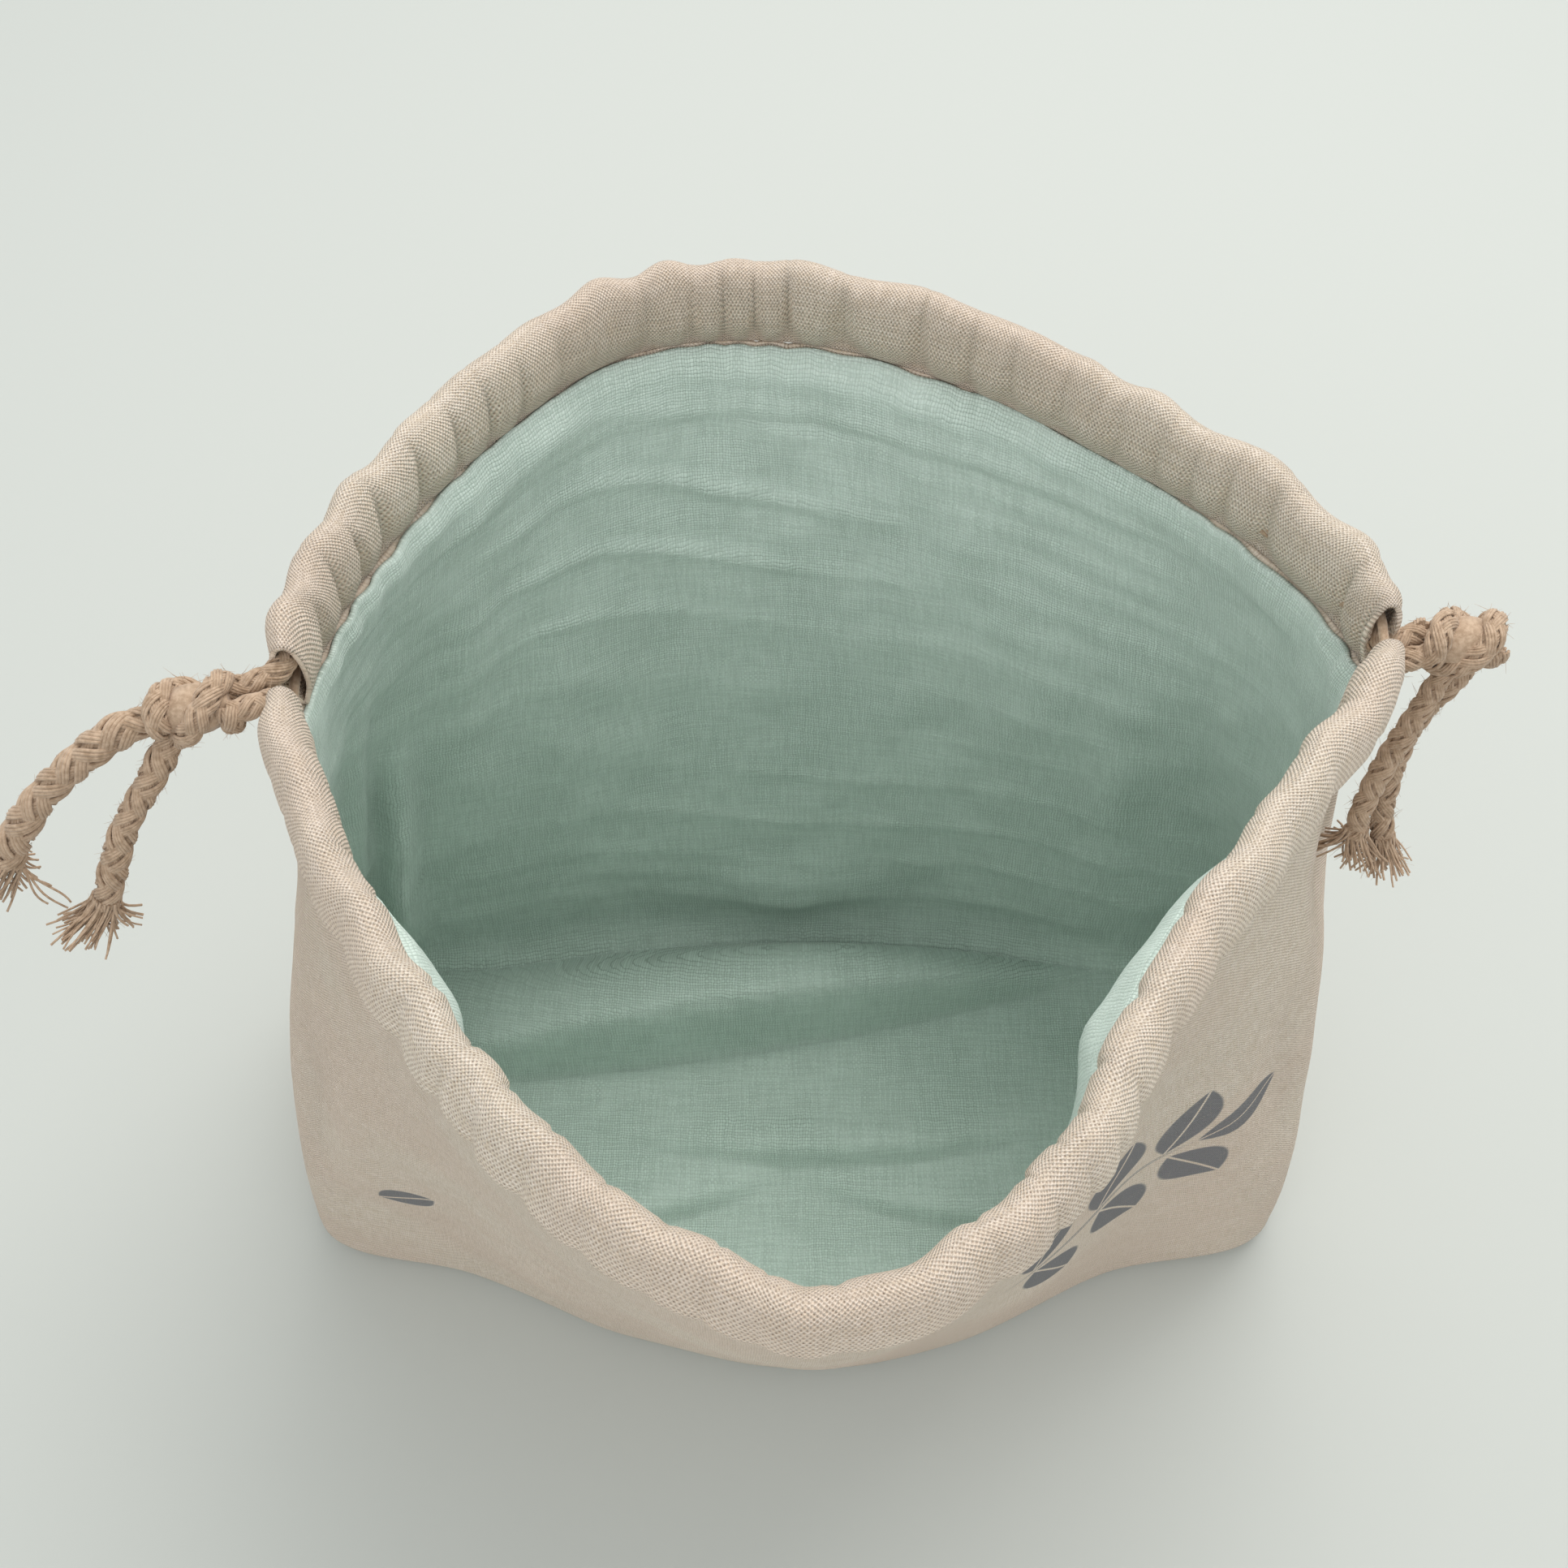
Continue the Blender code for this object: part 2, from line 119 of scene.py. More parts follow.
DENTS = (
    # turn, turn_width, height, reach, depth
    (0.055, 0.030, 0.40, 0.30, 0.0035),
    (0.150, 0.035, 0.62, 0.24, 0.0022),
    (0.330, 0.040, 0.55, 0.28, 0.0025),
    (0.445, 0.030, 0.42, 0.30, 0.0035),
    (0.560, 0.028, 0.48, 0.32, 0.0040),
    (0.660, 0.040, 0.30, 0.22, -0.0025),
    (0.750, 0.030, 0.80, 0.25, 0.0022),
    (0.840, 0.040, 0.35, 0.25, -0.0025),
    (0.935, 0.028, 0.50, 0.32, 0.0040),
    (0.980, 0.034, 0.80, 0.24, 0.0050),
)
TUCKS = (
    # turn, turn_width, height, reach, depth
    (0.535, 0.014, 0.62, 0.26, 0.0100),
    (0.965, 0.013, 0.55, 0.24, 0.0060),
    (0.420, 0.020, 0.25, 0.22, 0.0060),
    (0.250, 0.060, 0.12, 0.10, 0.0050),
    (0.905, 0.090, 0.83, 0.17, 0.0085),
    (0.580, 0.055, 0.82, 0.17, 0.0065),
)

# Small tucks of the lining that the frame leaves plain, in the same columns
FINE_TUCKS = (
    (0.512, 0.011, 0.78, 0.22, 0.0040),
    (0.553, 0.009, 0.72, 0.26, 0.0030),
    (0.605, 0.016, 0.86, 0.13, 0.0025),
    (0.440, 0.013, 0.52, 0.40, 0.0038),
    (0.412, 0.011, 0.30, 0.40, 0.0095),
    (0.900, 0.095, 0.93, 0.13, 0.0066),
    (0.585, 0.060, 0.93, 0.13, 0.0060),
    (0.384, 0.016, 0.66, 0.30, 0.0018),
    (0.346, 0.013, 0.52, 0.30, 0.0014),
    (0.120, 0.016, 0.45, 0.32, 0.0020),
    (0.070, 0.018, 0.62, 0.26, 0.0016),
    (0.870, 0.012, 0.86, 0.11, 0.0016),
    (0.940, 0.014, 0.84, 0.13, 0.0018),
)
FLOOR_FOLDS = (
    # x, y, half_length, behind, before, direction, height
    (-0.14, 0.13, 1.15, 0.40, 0.034, 9.0, 0.0310),
    (0.10, -0.13, 0.60, 0.11, 0.040, 2.0, 0.0060),
    (0.38, -0.27, 0.48, 0.10, 0.036, -5.0, 0.0055),
    (-0.35, -0.27, 0.44, 0.10, 0.036, 9.0, 0.0055),
    (0.05, -0.42, 0.45, 0.08, 0.035, 3.0, 0.0026),
)

# Free ends of the rope, from the knot
TAIL_ROUTES = {
    "tail_left_outer": (
        (-0.1190, -0.0188, 0.2232),
        (-0.1245, -0.0205, 0.2218),
        (-0.1320, -0.0238, 0.2175),
        (-0.1400, -0.0272, 0.2110),
        (-0.1465, -0.0300, 0.2030),
        (-0.1508, -0.0320, 0.1960),
    ),
    "tail_left_inner": (
        (-0.1152, -0.0210, 0.2194),
        (-0.1196, -0.0250, 0.2133),
        (-0.1260, -0.0296, 0.2045),
        (-0.1305, -0.0338, 0.1950),
        (-0.1338, -0.0365, 0.1868),
    ),
    "tail_right_outer": (
        (0.1280, 0.0012, 0.2141),
        (0.1262, 0.0000, 0.2095),
        (0.1225, -0.0012, 0.2000),
        (0.1200, -0.0042, 0.1910),
        (0.1188, -0.0092, 0.1820),
        (0.1192, -0.0128, 0.1765),
        (0.1202, -0.0148, 0.1725),
    ),
    "tail_right_inner": (
        (0.1220, -0.0026, 0.2147),
        (0.1200, -0.0047, 0.2080),
        (0.1172, -0.0075, 0.1980),
        (0.1148, -0.0105, 0.1900),
        (0.1134, -0.0132, 0.1820),
        (0.1136, -0.0150, 0.1765),
    ),
}
TAIL_WIDTHS = {
    "tail_left_outer": 1.36,
    "tail_left_inner": 1.14,
    "tail_right_outer": 1.05,
    "tail_right_inner": 1.0,
}
KNOT_MIDDLES = {"left": (-0.1100, -0.0168, 0.2242), "right": (0.1238, 0.0004, 0.2215)}
KNOT_DIRECTIONS = {"left": (-0.97, -0.20, -0.10), "right": (0.985, 0.10, 0.00)}

# Width of the cloth round the bag, which the weave is measured along
CLOTH_ROUND = 0.68


def linear(red, green, blue):
    """A screen colour of 0 to 255 as the shader's linear one."""
    return tuple(
        s / 12.92 if s <= 0.04045 else ((s + 0.055) / 1.055) ** 2.4
        for s in (red / 255, green / 255, blue / 255)
    )


# Surfaces of the bag, as functions of a place round it and a height


def round_curve(rows, turn):
    """Smooth closed curve through the rows, at shares of a turn."""
    rows = np.asarray(rows, float)
    place = (np.asarray(turn, float) % 1.0) * len(rows)
    first = np.floor(place).astype(int)
    t = (place - first)[..., None]
    a, b, c, d = (rows[(first + k) % len(rows)] for k in (-1, 0, 1, 2))
    bend = (2 * a - 5 * b + 4 * c - d) * t ** 2
    return 0.5 * (2 * b + (c - a) * t + bend + (3 * b - a - 3 * c + d) * t ** 3)


def eased_table(share, places, values):
    """Values between a table's rows, with rounded corners."""
    near = 0.03
    total = 0.0
    for shift in (-near, -0.5 * near, 0.0, 0.5 * near, near):
        total = total + np.interp(np.asarray(share) + shift, places, values)
    edge = np.interp(share, places, values)
    inside = np.clip(np.minimum(share, 1.0 - np.asarray(share)) / near, 0.0, 1.0)
    return edge + (total / 5 - edge) * inside


def scaled(x, y, left, right, front, back):
    return np.stack([x * np.where(x > 0, right, left), y * np.where(y > 0, back, front)], -1)


def wall_plan(turn, share):
    """Plan points of the wall at a share of its height."""
    row = round_curve(OUTLINE, turn)
    half = BASE_HALF_WIDTH
    base = scaled(row[..., 0], row[..., 1], half, half, BASE_FRONT, BASE_BACK)
    mouth = scaled(row[..., 2], row[..., 3], MOUTH_LEFT, MOUTH_RIGHT, MOUTH_FRONT, MOUTH_BACK)
    heights, side, front, back = np.asarray(PROFILE).T
    facing = np.sin(2 * np.pi * np.asarray(turn))
    along = np.where(
        facing < 0, eased_table(share, heights, front), eased_table(share, heights, back)
    )
    side = eased_table(share, heights, side)
    moved = side + (along - side) * facing ** 2
    return base + (mouth - base) * moved[..., None]


def plan_normal(turn, share):
    along = wall_plan(turn + NORMAL_STEP, share) - wall_plan(turn - NORMAL_STEP, share)
    along /= np.linalg.norm(along, axis=-1, keepdims=True)
    return np.stack([along[..., 1], -along[..., 0]], -1)


def soft_bump(distance):
    return np.cos(0.5 * np.pi * np.minimum(1.0, np.abs(distance))) ** 2


def smooth_step(value):
    value = np.clip(value, 0.0, 1.0)
    return value * value * (3 - 2 * value)


def turn_distance(turn, middle):
    return np.abs((turn - middle + 0.5) % 1.0 - 0.5)


def folds_at(folds, turn, share):
    depth = 0.0
    for middle, width, height, reach, most in folds:
        beside = turn_distance(turn, middle) / width
        depth = depth + most * soft_bump(beside) * soft_bump((share - height) / reach)
    return depth


def cloth_noise(turn, share, across, up, seed):
    """Soft waves that close round the bag, about -1 to 1."""
    rng = np.random.default_rng(seed)
    waves = 9
    total = 0.0
    for _ in range(waves):
        around = int(rng.integers(1, across + 1)) * int(rng.choice((-1, 1)))
        rise = rng.uniform(0.2, 1.0) * up
        total = total + np.sin(2 * np.pi * (around * turn + rise * share + rng.uniform()))
    return total / math.sqrt(waves)


def edge_inset(height, radius):
    below = np.clip(radius - height, 0.0, radius)
    return radius - np.sqrt(radius ** 2 - below ** 2)


def wall_place(turn, height, inset):
    """Points inside the wall's outer face by an inset."""
    share = height / WALL_HEIGHT
    plan = wall_plan(turn, share) - plan_normal(turn, share) * inset[..., None]
    return np.concatenate([plan, height[..., None]], -1)


def pucker_drift(turn):
    """How unevenly the gathers follow each other."""
    return 0.35 * np.sin(2 * np.pi * 7 * turn + 1.0) + 0.30 * np.sin(2 * np.pi * 11 * turn)


def pucker(turn):
    """Places where the drawn rope gathers the cloth, 1 at the middle of each."""
    wave = 0.5 + 0.5 * np.cos(2 * np.pi * (GATHERS * turn + pucker_drift(turn)))
    strength = 0.62 + 0.38 * np.sin(2 * np.pi * 5 * turn + 0.6)
    return wave ** 1.5 * strength


def canvas_relief(turn, share):
    """How far the canvas wall is drawn in by dents, creases and the gathered mouth."""
    depth = folds_at(DENTS, turn, share)
    depth = depth + 0.0006 * cloth_noise(turn, share, 7, 2.2, 3)
    depth = depth + 0.00022 * cloth_noise(turn, share, 26, 5.0, 5)
    gathered = smooth_step((share - 0.86) / 0.14)
    depth = depth + 0.0009 * gathered * pucker(turn)
    seam = np.minimum(turn_distance(turn, 0.0), turn_distance(turn, 0.5)) / 0.004
    return depth - 0.0006 * np.exp(-seam ** 2)


def lining_relief(turn, share):
    """How far the lining stands in from the canvas: slack, tucks and fine wrinkles."""
    depth = folds_at(TUCKS, turn, share) + folds_at(FINE_TUCKS, turn, share)
    behind = smooth_step((0.27 - turn_distance(turn, 0.27)) / 0.10)
    sway = 0.35 * np.sin(2 * np.pi * (2 * turn + 0.1)) + 0.25 * np.sin(2 * np.pi * 5 * turn)
    wave = np.sin(2 * np.pi * (15.0 * share + 1.2 * np.sin(7 * share) + sway))
    show = 0.55 + 0.45 * cloth_noise(turn, share, 4, 3.0, 11)
    crease = (1.0 - np.abs(np.sin(np.pi * (11.0 * share + sway)))) ** 4
    depth = depth + behind * (0.00030 * wave * show + 0.00130 * crease * (1.0 - show))
    depth = depth + 0.0008 * cloth_noise(turn, share, 6, 2.5, 17)
    depth = depth + 0.00030 * cloth_noise(turn, share, 30, 9.0, 19)
    line = (WALL_HEIGHT - 0.0165 + 0.0008 * np.sin(2 * np.pi * 9 * turn)) / WALL_HEIGHT
    overlap = smooth_step((share - line) / 0.005) * behind
    slack = np.maximum(depth + 0.0012 + 0.0011 * overlap, 0.0)
    return slack * smooth_step((1.003 - share) / 0.03)


def floor_rise(x, y):
    """How far the lining's floor is folded up: steep in front, easy behind."""
    up = 0.0
    for fold_x, fold_y, half_length, behind, before, direction, height in FLOOR_FOLDS:
        away_x = x / BASE_HALF_WIDTH - fold_x
        away_y = y / BASE_HALF_WIDTH - fold_y
        turn = math.radians(direction)
        along = away_x * math.cos(turn) + away_y * math.sin(turn)
        across = away_y * math.cos(turn) - away_x * math.sin(turn)
        across = across - 0.10 * (along / half_length) ** 2
        width = np.where(across > 0, behind, before)
        up = up + height * soft_bump(along / half_length) * soft_bump(across / width)
    ripple = np.sin(60 * x + 8 * np.sin(20 * y + 1)) * np.sin(190 * y + 14 * x)
    return up + 0.0005 * ripple + 0.0007


def drawn_to_middle(points, share):
    """Draws a ring's points in towards the middle of the base."""
    middle = 0.5 * (BASE_BACK - BASE_FRONT)
    points[:, 0] *= share
    points[:, 1] = middle + (points[:, 1] - middle) * share
    return points


def wall_chart(column, points, columns):
    """Cloth coordinates of a wall: along it and up it."""
    return np.stack([column / columns * CLOTH_ROUND, 0.05 + points[:, 2] * 1.04], -1)


# Mesh helpers


def grid_piece(name, columns, rows, place, chart):
    """A sheet from a grid: place and chart turn its columns and rows into points and
    into cloth coordinates, which take the row below each face to tell floor from wall.
    """
    bm = bmesh.new()
    bm.loops.layers.uv.new("UVMap")
    bmesh.ops.create_grid(bm, x_segments=columns, y_segments=rows, size=0.5, calc_uvs=True)
    mesh = bpy.data.meshes.new(name)
    bm.to_mesh(mesh)
    bm.free()
    count = len(mesh.vertices)
    co = np.empty(count * 3)
    mesh.vertices.foreach_get("co", co)
    co = co.reshape(-1, 3)
    column = np.rint((co[:, 0] + 0.5) * columns).astype(int)
    row = np.rint((co[:, 1] + 0.5) * rows).astype(int)
    points = place(column, row)
    corner = np.empty(len(mesh.loops), int)
    mesh.loops.foreach_get("vertex_index", corner)
    below = row[corner].reshape(-1, 4).min(axis=1).repeat(4)
    cloth = chart(column[corner], row[corner], below, points[corner])
    mesh.uv_layers[0].data.foreach_set("uv", cloth.astype(np.float32).ravel())
    mesh.vertices.foreach_set("co", points.ravel())
    bm = bmesh.new()
    bm.from_mesh(mesh)
    bmesh.ops.remove_doubles(bm, verts=bm.verts[:], dist=1e-6)
    bmesh.ops.recalc_face_normals(bm, faces=bm.faces[:])
    bm.to_mesh(mesh)
    bm.free()
    mesh.shade_smooth()
    obj = bpy.data.objects.new(name, mesh)
    bpy.context.scene.collection.objects.link(obj)
    return obj


def thicken(obj, thickness):
    made = obj.modifiers.new("cloth_thickness", "SOLIDIFY")
    made.thickness = thickness
    made.offset = -1.0
    made.use_even_offset = False
    return made


def finish_piece(obj, slot, made, *nodes):
    """Gives a piece its material and seats it on the frame."""
    obj.data.materials.clear()
    obj.data.materials.append(made)
    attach(obj, "root")
    if nodes:
        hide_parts(*nodes)


def strands_piece(name, strands, thickness, sides=1):
    """A mesh of thin round strands: each is its points and its radius factors."""
    curve = bpy.data.curves.new(name, "CURVE")
    curve.dimensions = "3D"
    curve.bevel_depth = thickness
    curve.bevel_resolution = sides
    curve.use_fill_caps = True
    for points, factors in strands:
        spline = curve.splines.new("POLY")
        spline.points.add(len(points) - 1)
        spots = np.ones((len(points), 4))
        spots[:, :3] = points
        spline.points.foreach_set("co", spots.ravel())
        spline.points.foreach_set("radius", np.broadcast_to(factors, len(points)).copy())
    holder = bpy.data.objects.new(name + "_line", curve)
    bpy.context.scene.collection.objects.link(holder)
    graph = bpy.context.evaluated_depsgraph_get()
    mesh = bpy.data.meshes.new_from_object(holder.evaluated_get(graph))
    bpy.data.objects.remove(holder, do_unlink=True)
    bpy.data.curves.remove(curve)
    mesh.name = name
    mesh.shade_smooth()
    obj = bpy.data.objects.new(name, mesh)
    bpy.context.scene.collection.objects.link(obj)
    return obj


# Rope


def unit(vector):
    vector = np.asarray(vector, float)
    return vector / np.linalg.norm(vector)


def even_route(points, step):
    """Evenly spaced points on a smooth curve through a route's points."""
    points = np.asarray(points, float)
    padded = np.vstack([2 * points[0] - points[1], points, 2 * points[-1] - points[-2]])
    fine = []
    t = np.linspace(0, 1, 24, endpoint=False)[:, None]
    for i in range(len(points) - 1):
        a, b, c, d = padded[i : i + 4]
        bend = (2 * a - 5 * b + 4 * c - d) * t ** 2
        fine.append(0.5 * (2 * b + (c - a) * t + bend + (3 * b - a - 3 * c + d) * t ** 3))
    fine = np.vstack(fine + [points[-1:]])
    length = np.concatenate([[0], np.cumsum(np.linalg.norm(np.diff(fine, axis=0), axis=1))])
    wanted = np.linspace(0, length[-1], max(3, round(length[-1] / step) + 1))
    return np.array([np.interp(wanted, length, fine[:, k]) for k in range(3)]).T


def route_frames(points):
    """Two directions across the route at each point, without a twist."""
    along = np.gradient(points, axis=0)
    along /= np.linalg.norm(along, axis=1, keepdims=True)
    start = (0, 0, 1) if abs(along[0][2]) < 0.8 else (0, 1, 0)
    side = unit(np.cross(along[0], start))
    sides = []
    for direction in along:
        side = unit(side - direction * np.dot(side, direction))
        sides.append(side)
    sides = np.array(sides)
    return sides, np.cross(along, sides)


def braid(points, radius, lay, yarn, start_turn=0.0, growth=None):
    """Yarns of a round braid along a route: eight strands of four yarns, each strand
    over two and under two of the others."""
    side, above = route_frames(points)
    place = np.concatenate([[0], np.cumsum(np.linalg.norm(np.diff(points, axis=0), axis=1))])
    size = np.ones(len(points)) if growth is None else growth
    yarns = []
    for way in (1, -1):
        for strand in range(4):
            for lane in range(4):
                shift = (lane - 1.5) * 2.25 * yarn / radius
                turn = way * 2 * np.pi * place / lay + 0.5 * np.pi * strand + shift
                turn = turn + start_turn
                over = way * np.cos(4 * np.pi * place / lay - 0.25 * np.pi)
                crown = 0.30 * yarn * (1.0 - ((lane - 1.5) / 1.5) ** 2)
                out = (radius - 2.2 * yarn + 1.05 * yarn * over + crown) * size
                spot = points + side * (out * np.cos(turn))[:, None]
                spot = spot + above * (out * np.sin(turn))[:, None]
                yarns.append((spot, size))
    core = (radius - 2.35 * yarn) / yarn
    yarns.append((points, core * size))
    return yarns


def fuzz(points, radius, count, seed, reach=0.0022):
    """Fine fibres that stand off a rope."""
    rng = np.random.default_rng(seed)
    side, above = route_frames(points)
    hairs = []
    for _ in range(count):
        i = int(rng.integers(1, len(points) - 1))
        turn = rng.uniform(0, 2 * np.pi)
        out = side[i] * math.cos(turn) + above[i] * math.sin(turn)
        along = unit(points[i + 1] - points[i - 1]) * rng.choice((-1, 1))
        across = np.cross(out, along) * rng.uniform(-0.8, 0.8)
        length = reach * rng.uniform(0.5, 1.2)
        start = points[i] + out * radius * 0.86
        bend = rng.uniform(0.2, 0.9)
        middle = start + (out * 0.5 * bend + along * 0.6 + across * 0.4) * length * 0.5
        end = start + (out * bend + along * 0.9 + across) * length
        hairs.append((np.array([start, middle, end]), np.array([0.16, 0.12, 0.05])))
    return hairs


def casing_plan(turn, up):
    """Middle of a casing's thickness, that far above its bottom."""
    lean = round_curve(OUTLINE, turn)[..., 4]
    normal = plan_normal(turn, np.ones_like(turn))
    return wall_plan(turn, np.ones_like(turn)) - normal * (lean * up)[..., None]


def mouth_length():
    ring = wall_plan(np.linspace(0, 1, 65), np.ones(65))
    return float(np.linalg.norm(np.diff(ring, axis=0), axis=1).sum())


def casing_turns(start, steps, opening=CASING_OPENING):
    edge = 0.5 * opening / mouth_length()
    return start + edge + (0.5 - 2 * edge) * np.arange(steps + 1) / steps


def rope_exit(side, inner, edge, other_edge, steps):
    """From a casing's end out through the side opening and up to the knot."""
    direction = unit(KNOT_DIRECTIONS[side])
    beside = unit(np.cross(direction, (0, 0, 1)))
    if np.dot(edge - other_edge, beside) < 0:
        beside = -beside
    reach = 0.5 * KNOT_LENGTH - 0.0022
    knot_end = np.array(KNOT_MIDDLES[side]) - direction * reach
    touch = knot_end + beside * (0.5 * ROPE_DIAMETER + 0.0001)
    out = unit(edge - inner)
    start = edge + out * EXIT_LEAD
    corners = (start, start + out * EXIT_BEND, touch - direction * EXIT_BEND, touch)
    t = np.linspace(0, 1, steps + 1)[:, None]
    weights = ((1 - t) ** 3, 3 * t * (1 - t) ** 2, 3 * t ** 2 * (1 - t), t ** 3)
    return sum(weight * corner for weight, corner in zip(weights, corners))


def drawstring_route(side):
    """The loop's two exits and its run through both casings."""
    level = ROPE_LEVEL + (0.5 if side == "left" else -0.5) * ROPE_SPACING
    height = WALL_HEIGHT + SEAM_GAP + level
    halves = [casing_turns(0.0, 32), casing_turns(0.5, 32)]
    if side == "left":
        halves = [turns[::-1] for turns in halves]
    back, front = (
        np.column_stack([casing_plan(t, np.full(len(t), level)), np.full(len(t), height)])
        for t in halves
    )
    start = rope_exit(side, back[1], back[0], front[-1], 6)[::-1]
    finish = rope_exit(side, front[-2], front[-1], back[0], 6)
    return start, back, front, finish


# Materials


def put(tree, kind, inputs=None, **settings):
    """Adds a node, with values or links for its inputs."""
    made = tree.nodes.new(kind)
    for name, value in settings.items():
        setattr(made, name, value)
    for key, value in (inputs or {}).items():
        if isinstance(value, bpy.types.NodeSocket):
            tree.links.new(value, made.inputs[key])
        else:
            made.inputs[key].default_value = value
    return made


def maths(tree, operation, *values, clamp=False):
    made = put(tree, "ShaderNodeMath", dict(enumerate(values)), operation=operation)
    made.use_clamp = clamp
    return made.outputs[0]


def vector_maths(tree, operation, inputs):
    return put(tree, "ShaderNodeVectorMath", inputs, operation=operation).outputs[0]


def remap(tree, value, low, high, to_low=0.0, to_high=1.0):
    inputs = {0: value, 1: low, 2: high, 3: to_low, 4: to_high}
    return put(tree, "ShaderNodeMapRange", inputs, interpolation_type="SMOOTHSTEP").outputs[0]


def blend_colours(tree, share, first, second, way="MIX"):
    """Mixes two colours, each a socket or a tuple."""
    made = put(tree, "ShaderNodeMix", {0: share}, data_type="RGBA", blend_type=way)
    for key, value in ((6, first), (7, second)):
        if isinstance(value, bpy.types.NodeSocket):
            tree.links.new(value, made.inputs[key])
        else:
            made.inputs[key].default_value = (*value[:3], 1.0)
    return made.outputs[2]


def noise(tree, vector, scale, detail=2.0, roughness=0.5):
    inputs = {"Vector": vector, "Scale": scale, "Detail": detail, "Roughness": roughness}
    return put(tree, "ShaderNodeTexNoise", inputs).outputs[0]


def new_group(name, inputs, outputs):
    group = bpy.data.node_groups.new(name, "ShaderNodeTree")
    for label, kind, value in inputs:
        socket = group.interface.new_socket(label, in_out="INPUT", socket_type=kind)
        if value is not None:
            socket.default_value = value
    for label in outputs:
        group.interface.new_socket(label, in_out="OUTPUT", socket_type="NodeSocketFloat")
    return group, group.nodes.new("NodeGroupInput"), group.nodes.new("NodeGroupOutput")


def woven_threads():
    """Plain weave on cloth coordinates: thread height, gaps and uneven yarn."""
    found = bpy.data.node_groups.get("woven_threads")
    if found:
        return found
    inputs = (
        ("Vector", "NodeSocketVector", None),
        ("Pitch", "NodeSocketFloat", 0.0008),
        ("Wobble", "NodeSocketFloat", 0.3),
        ("Roundness", "NodeSocketFloat", 0.75),
        ("Narrowing", "NodeSocketFloat", 1.0),
    )
    group, source, result = new_group("woven_threads", inputs, ("Height", "Streak", "Pebble"))
    cloth = source.outputs["Vector"]
    per_metre = maths(group, "DIVIDE", 1.0, source.outputs["Pitch"])
    steps = vector_maths(group, "SCALE", {0: cloth, "Scale": per_metre})
    inputs = {"Vector": cloth, "Scale": 260.0, "Detail": 2.0}
    drift = put(group, "ShaderNodeTexNoise", inputs).outputs[1]
    centred = vector_maths(group, "SUBTRACT", {0: drift, 1: (0.5, 0.5, 0.5)})
    reach = maths(group, "MULTIPLY", source.outputs["Wobble"], 4.0)
    moved = vector_maths(group, "SCALE", {0: centred, "Scale": reach})
    thread = vector_maths(group, "ADD", {0: steps, 1: moved})
    parts = put(group, "ShaderNodeSeparateXYZ", {0: thread})
    across = maths(group, "MULTIPLY", parts.outputs[0], source.outputs["Narrowing"])
    up = parts.outputs[1]
    waves = []
    pebble = 0.5
    for value in (across, up):
        wave = maths(group, "SINE", maths(group, "MULTIPLY", value, math.pi))
        waves.append(maths(group, "ABSOLUTE", wave))
        pebble = maths(group, "MULTIPLY", wave, pebble)
    pebble = maths(group, "ADD", pebble, 0.5)
    cells = maths(group, "ADD", maths(group, "FLOOR", across), maths(group, "FLOOR", up))
    parity = maths(group, "PINGPONG", cells, 1.0)
    turned = maths(group, "MULTIPLY", parity, source.outputs["Roundness"])
    rise_across = maths(group, "ADD", turned, 0.42)
    rise_up = maths(group, "SUBTRACT", 0.42, turned)
    rise_up = maths(group, "ADD", rise_up, source.outputs["Roundness"])
    sharp_across = maths(group, "POWER", waves[0], rise_across)
    sharp_up = maths(group, "POWER", waves[1], rise_up)
    height = maths(group, "MULTIPLY", sharp_across, sharp_up)
    streaks = []
    for scales in ((1.0, 0.07), (0.07, 1.0)):
        stretched = {
            0: maths(group, "MULTIPLY", across, scales[0]),
            1: maths(group, "MULTIPLY", up, scales[1]),
        }
        vector = put(group, "ShaderNodeCombineXYZ", stretched).outputs[0]
        streaks.append(noise(group, vector, 0.9, 2.0))
    first = maths(group, "MULTIPLY", streaks[0], parity)
    second = maths(group, "MULTIPLY", streaks[1], maths(group, "SUBTRACT", 1.0, parity))
    streak = maths(group, "ADD", first, second)
    for label, value in (("Height", height), ("Streak", streak), ("Pebble", pebble)):
        group.links.new(value, result.inputs[label])
    return group


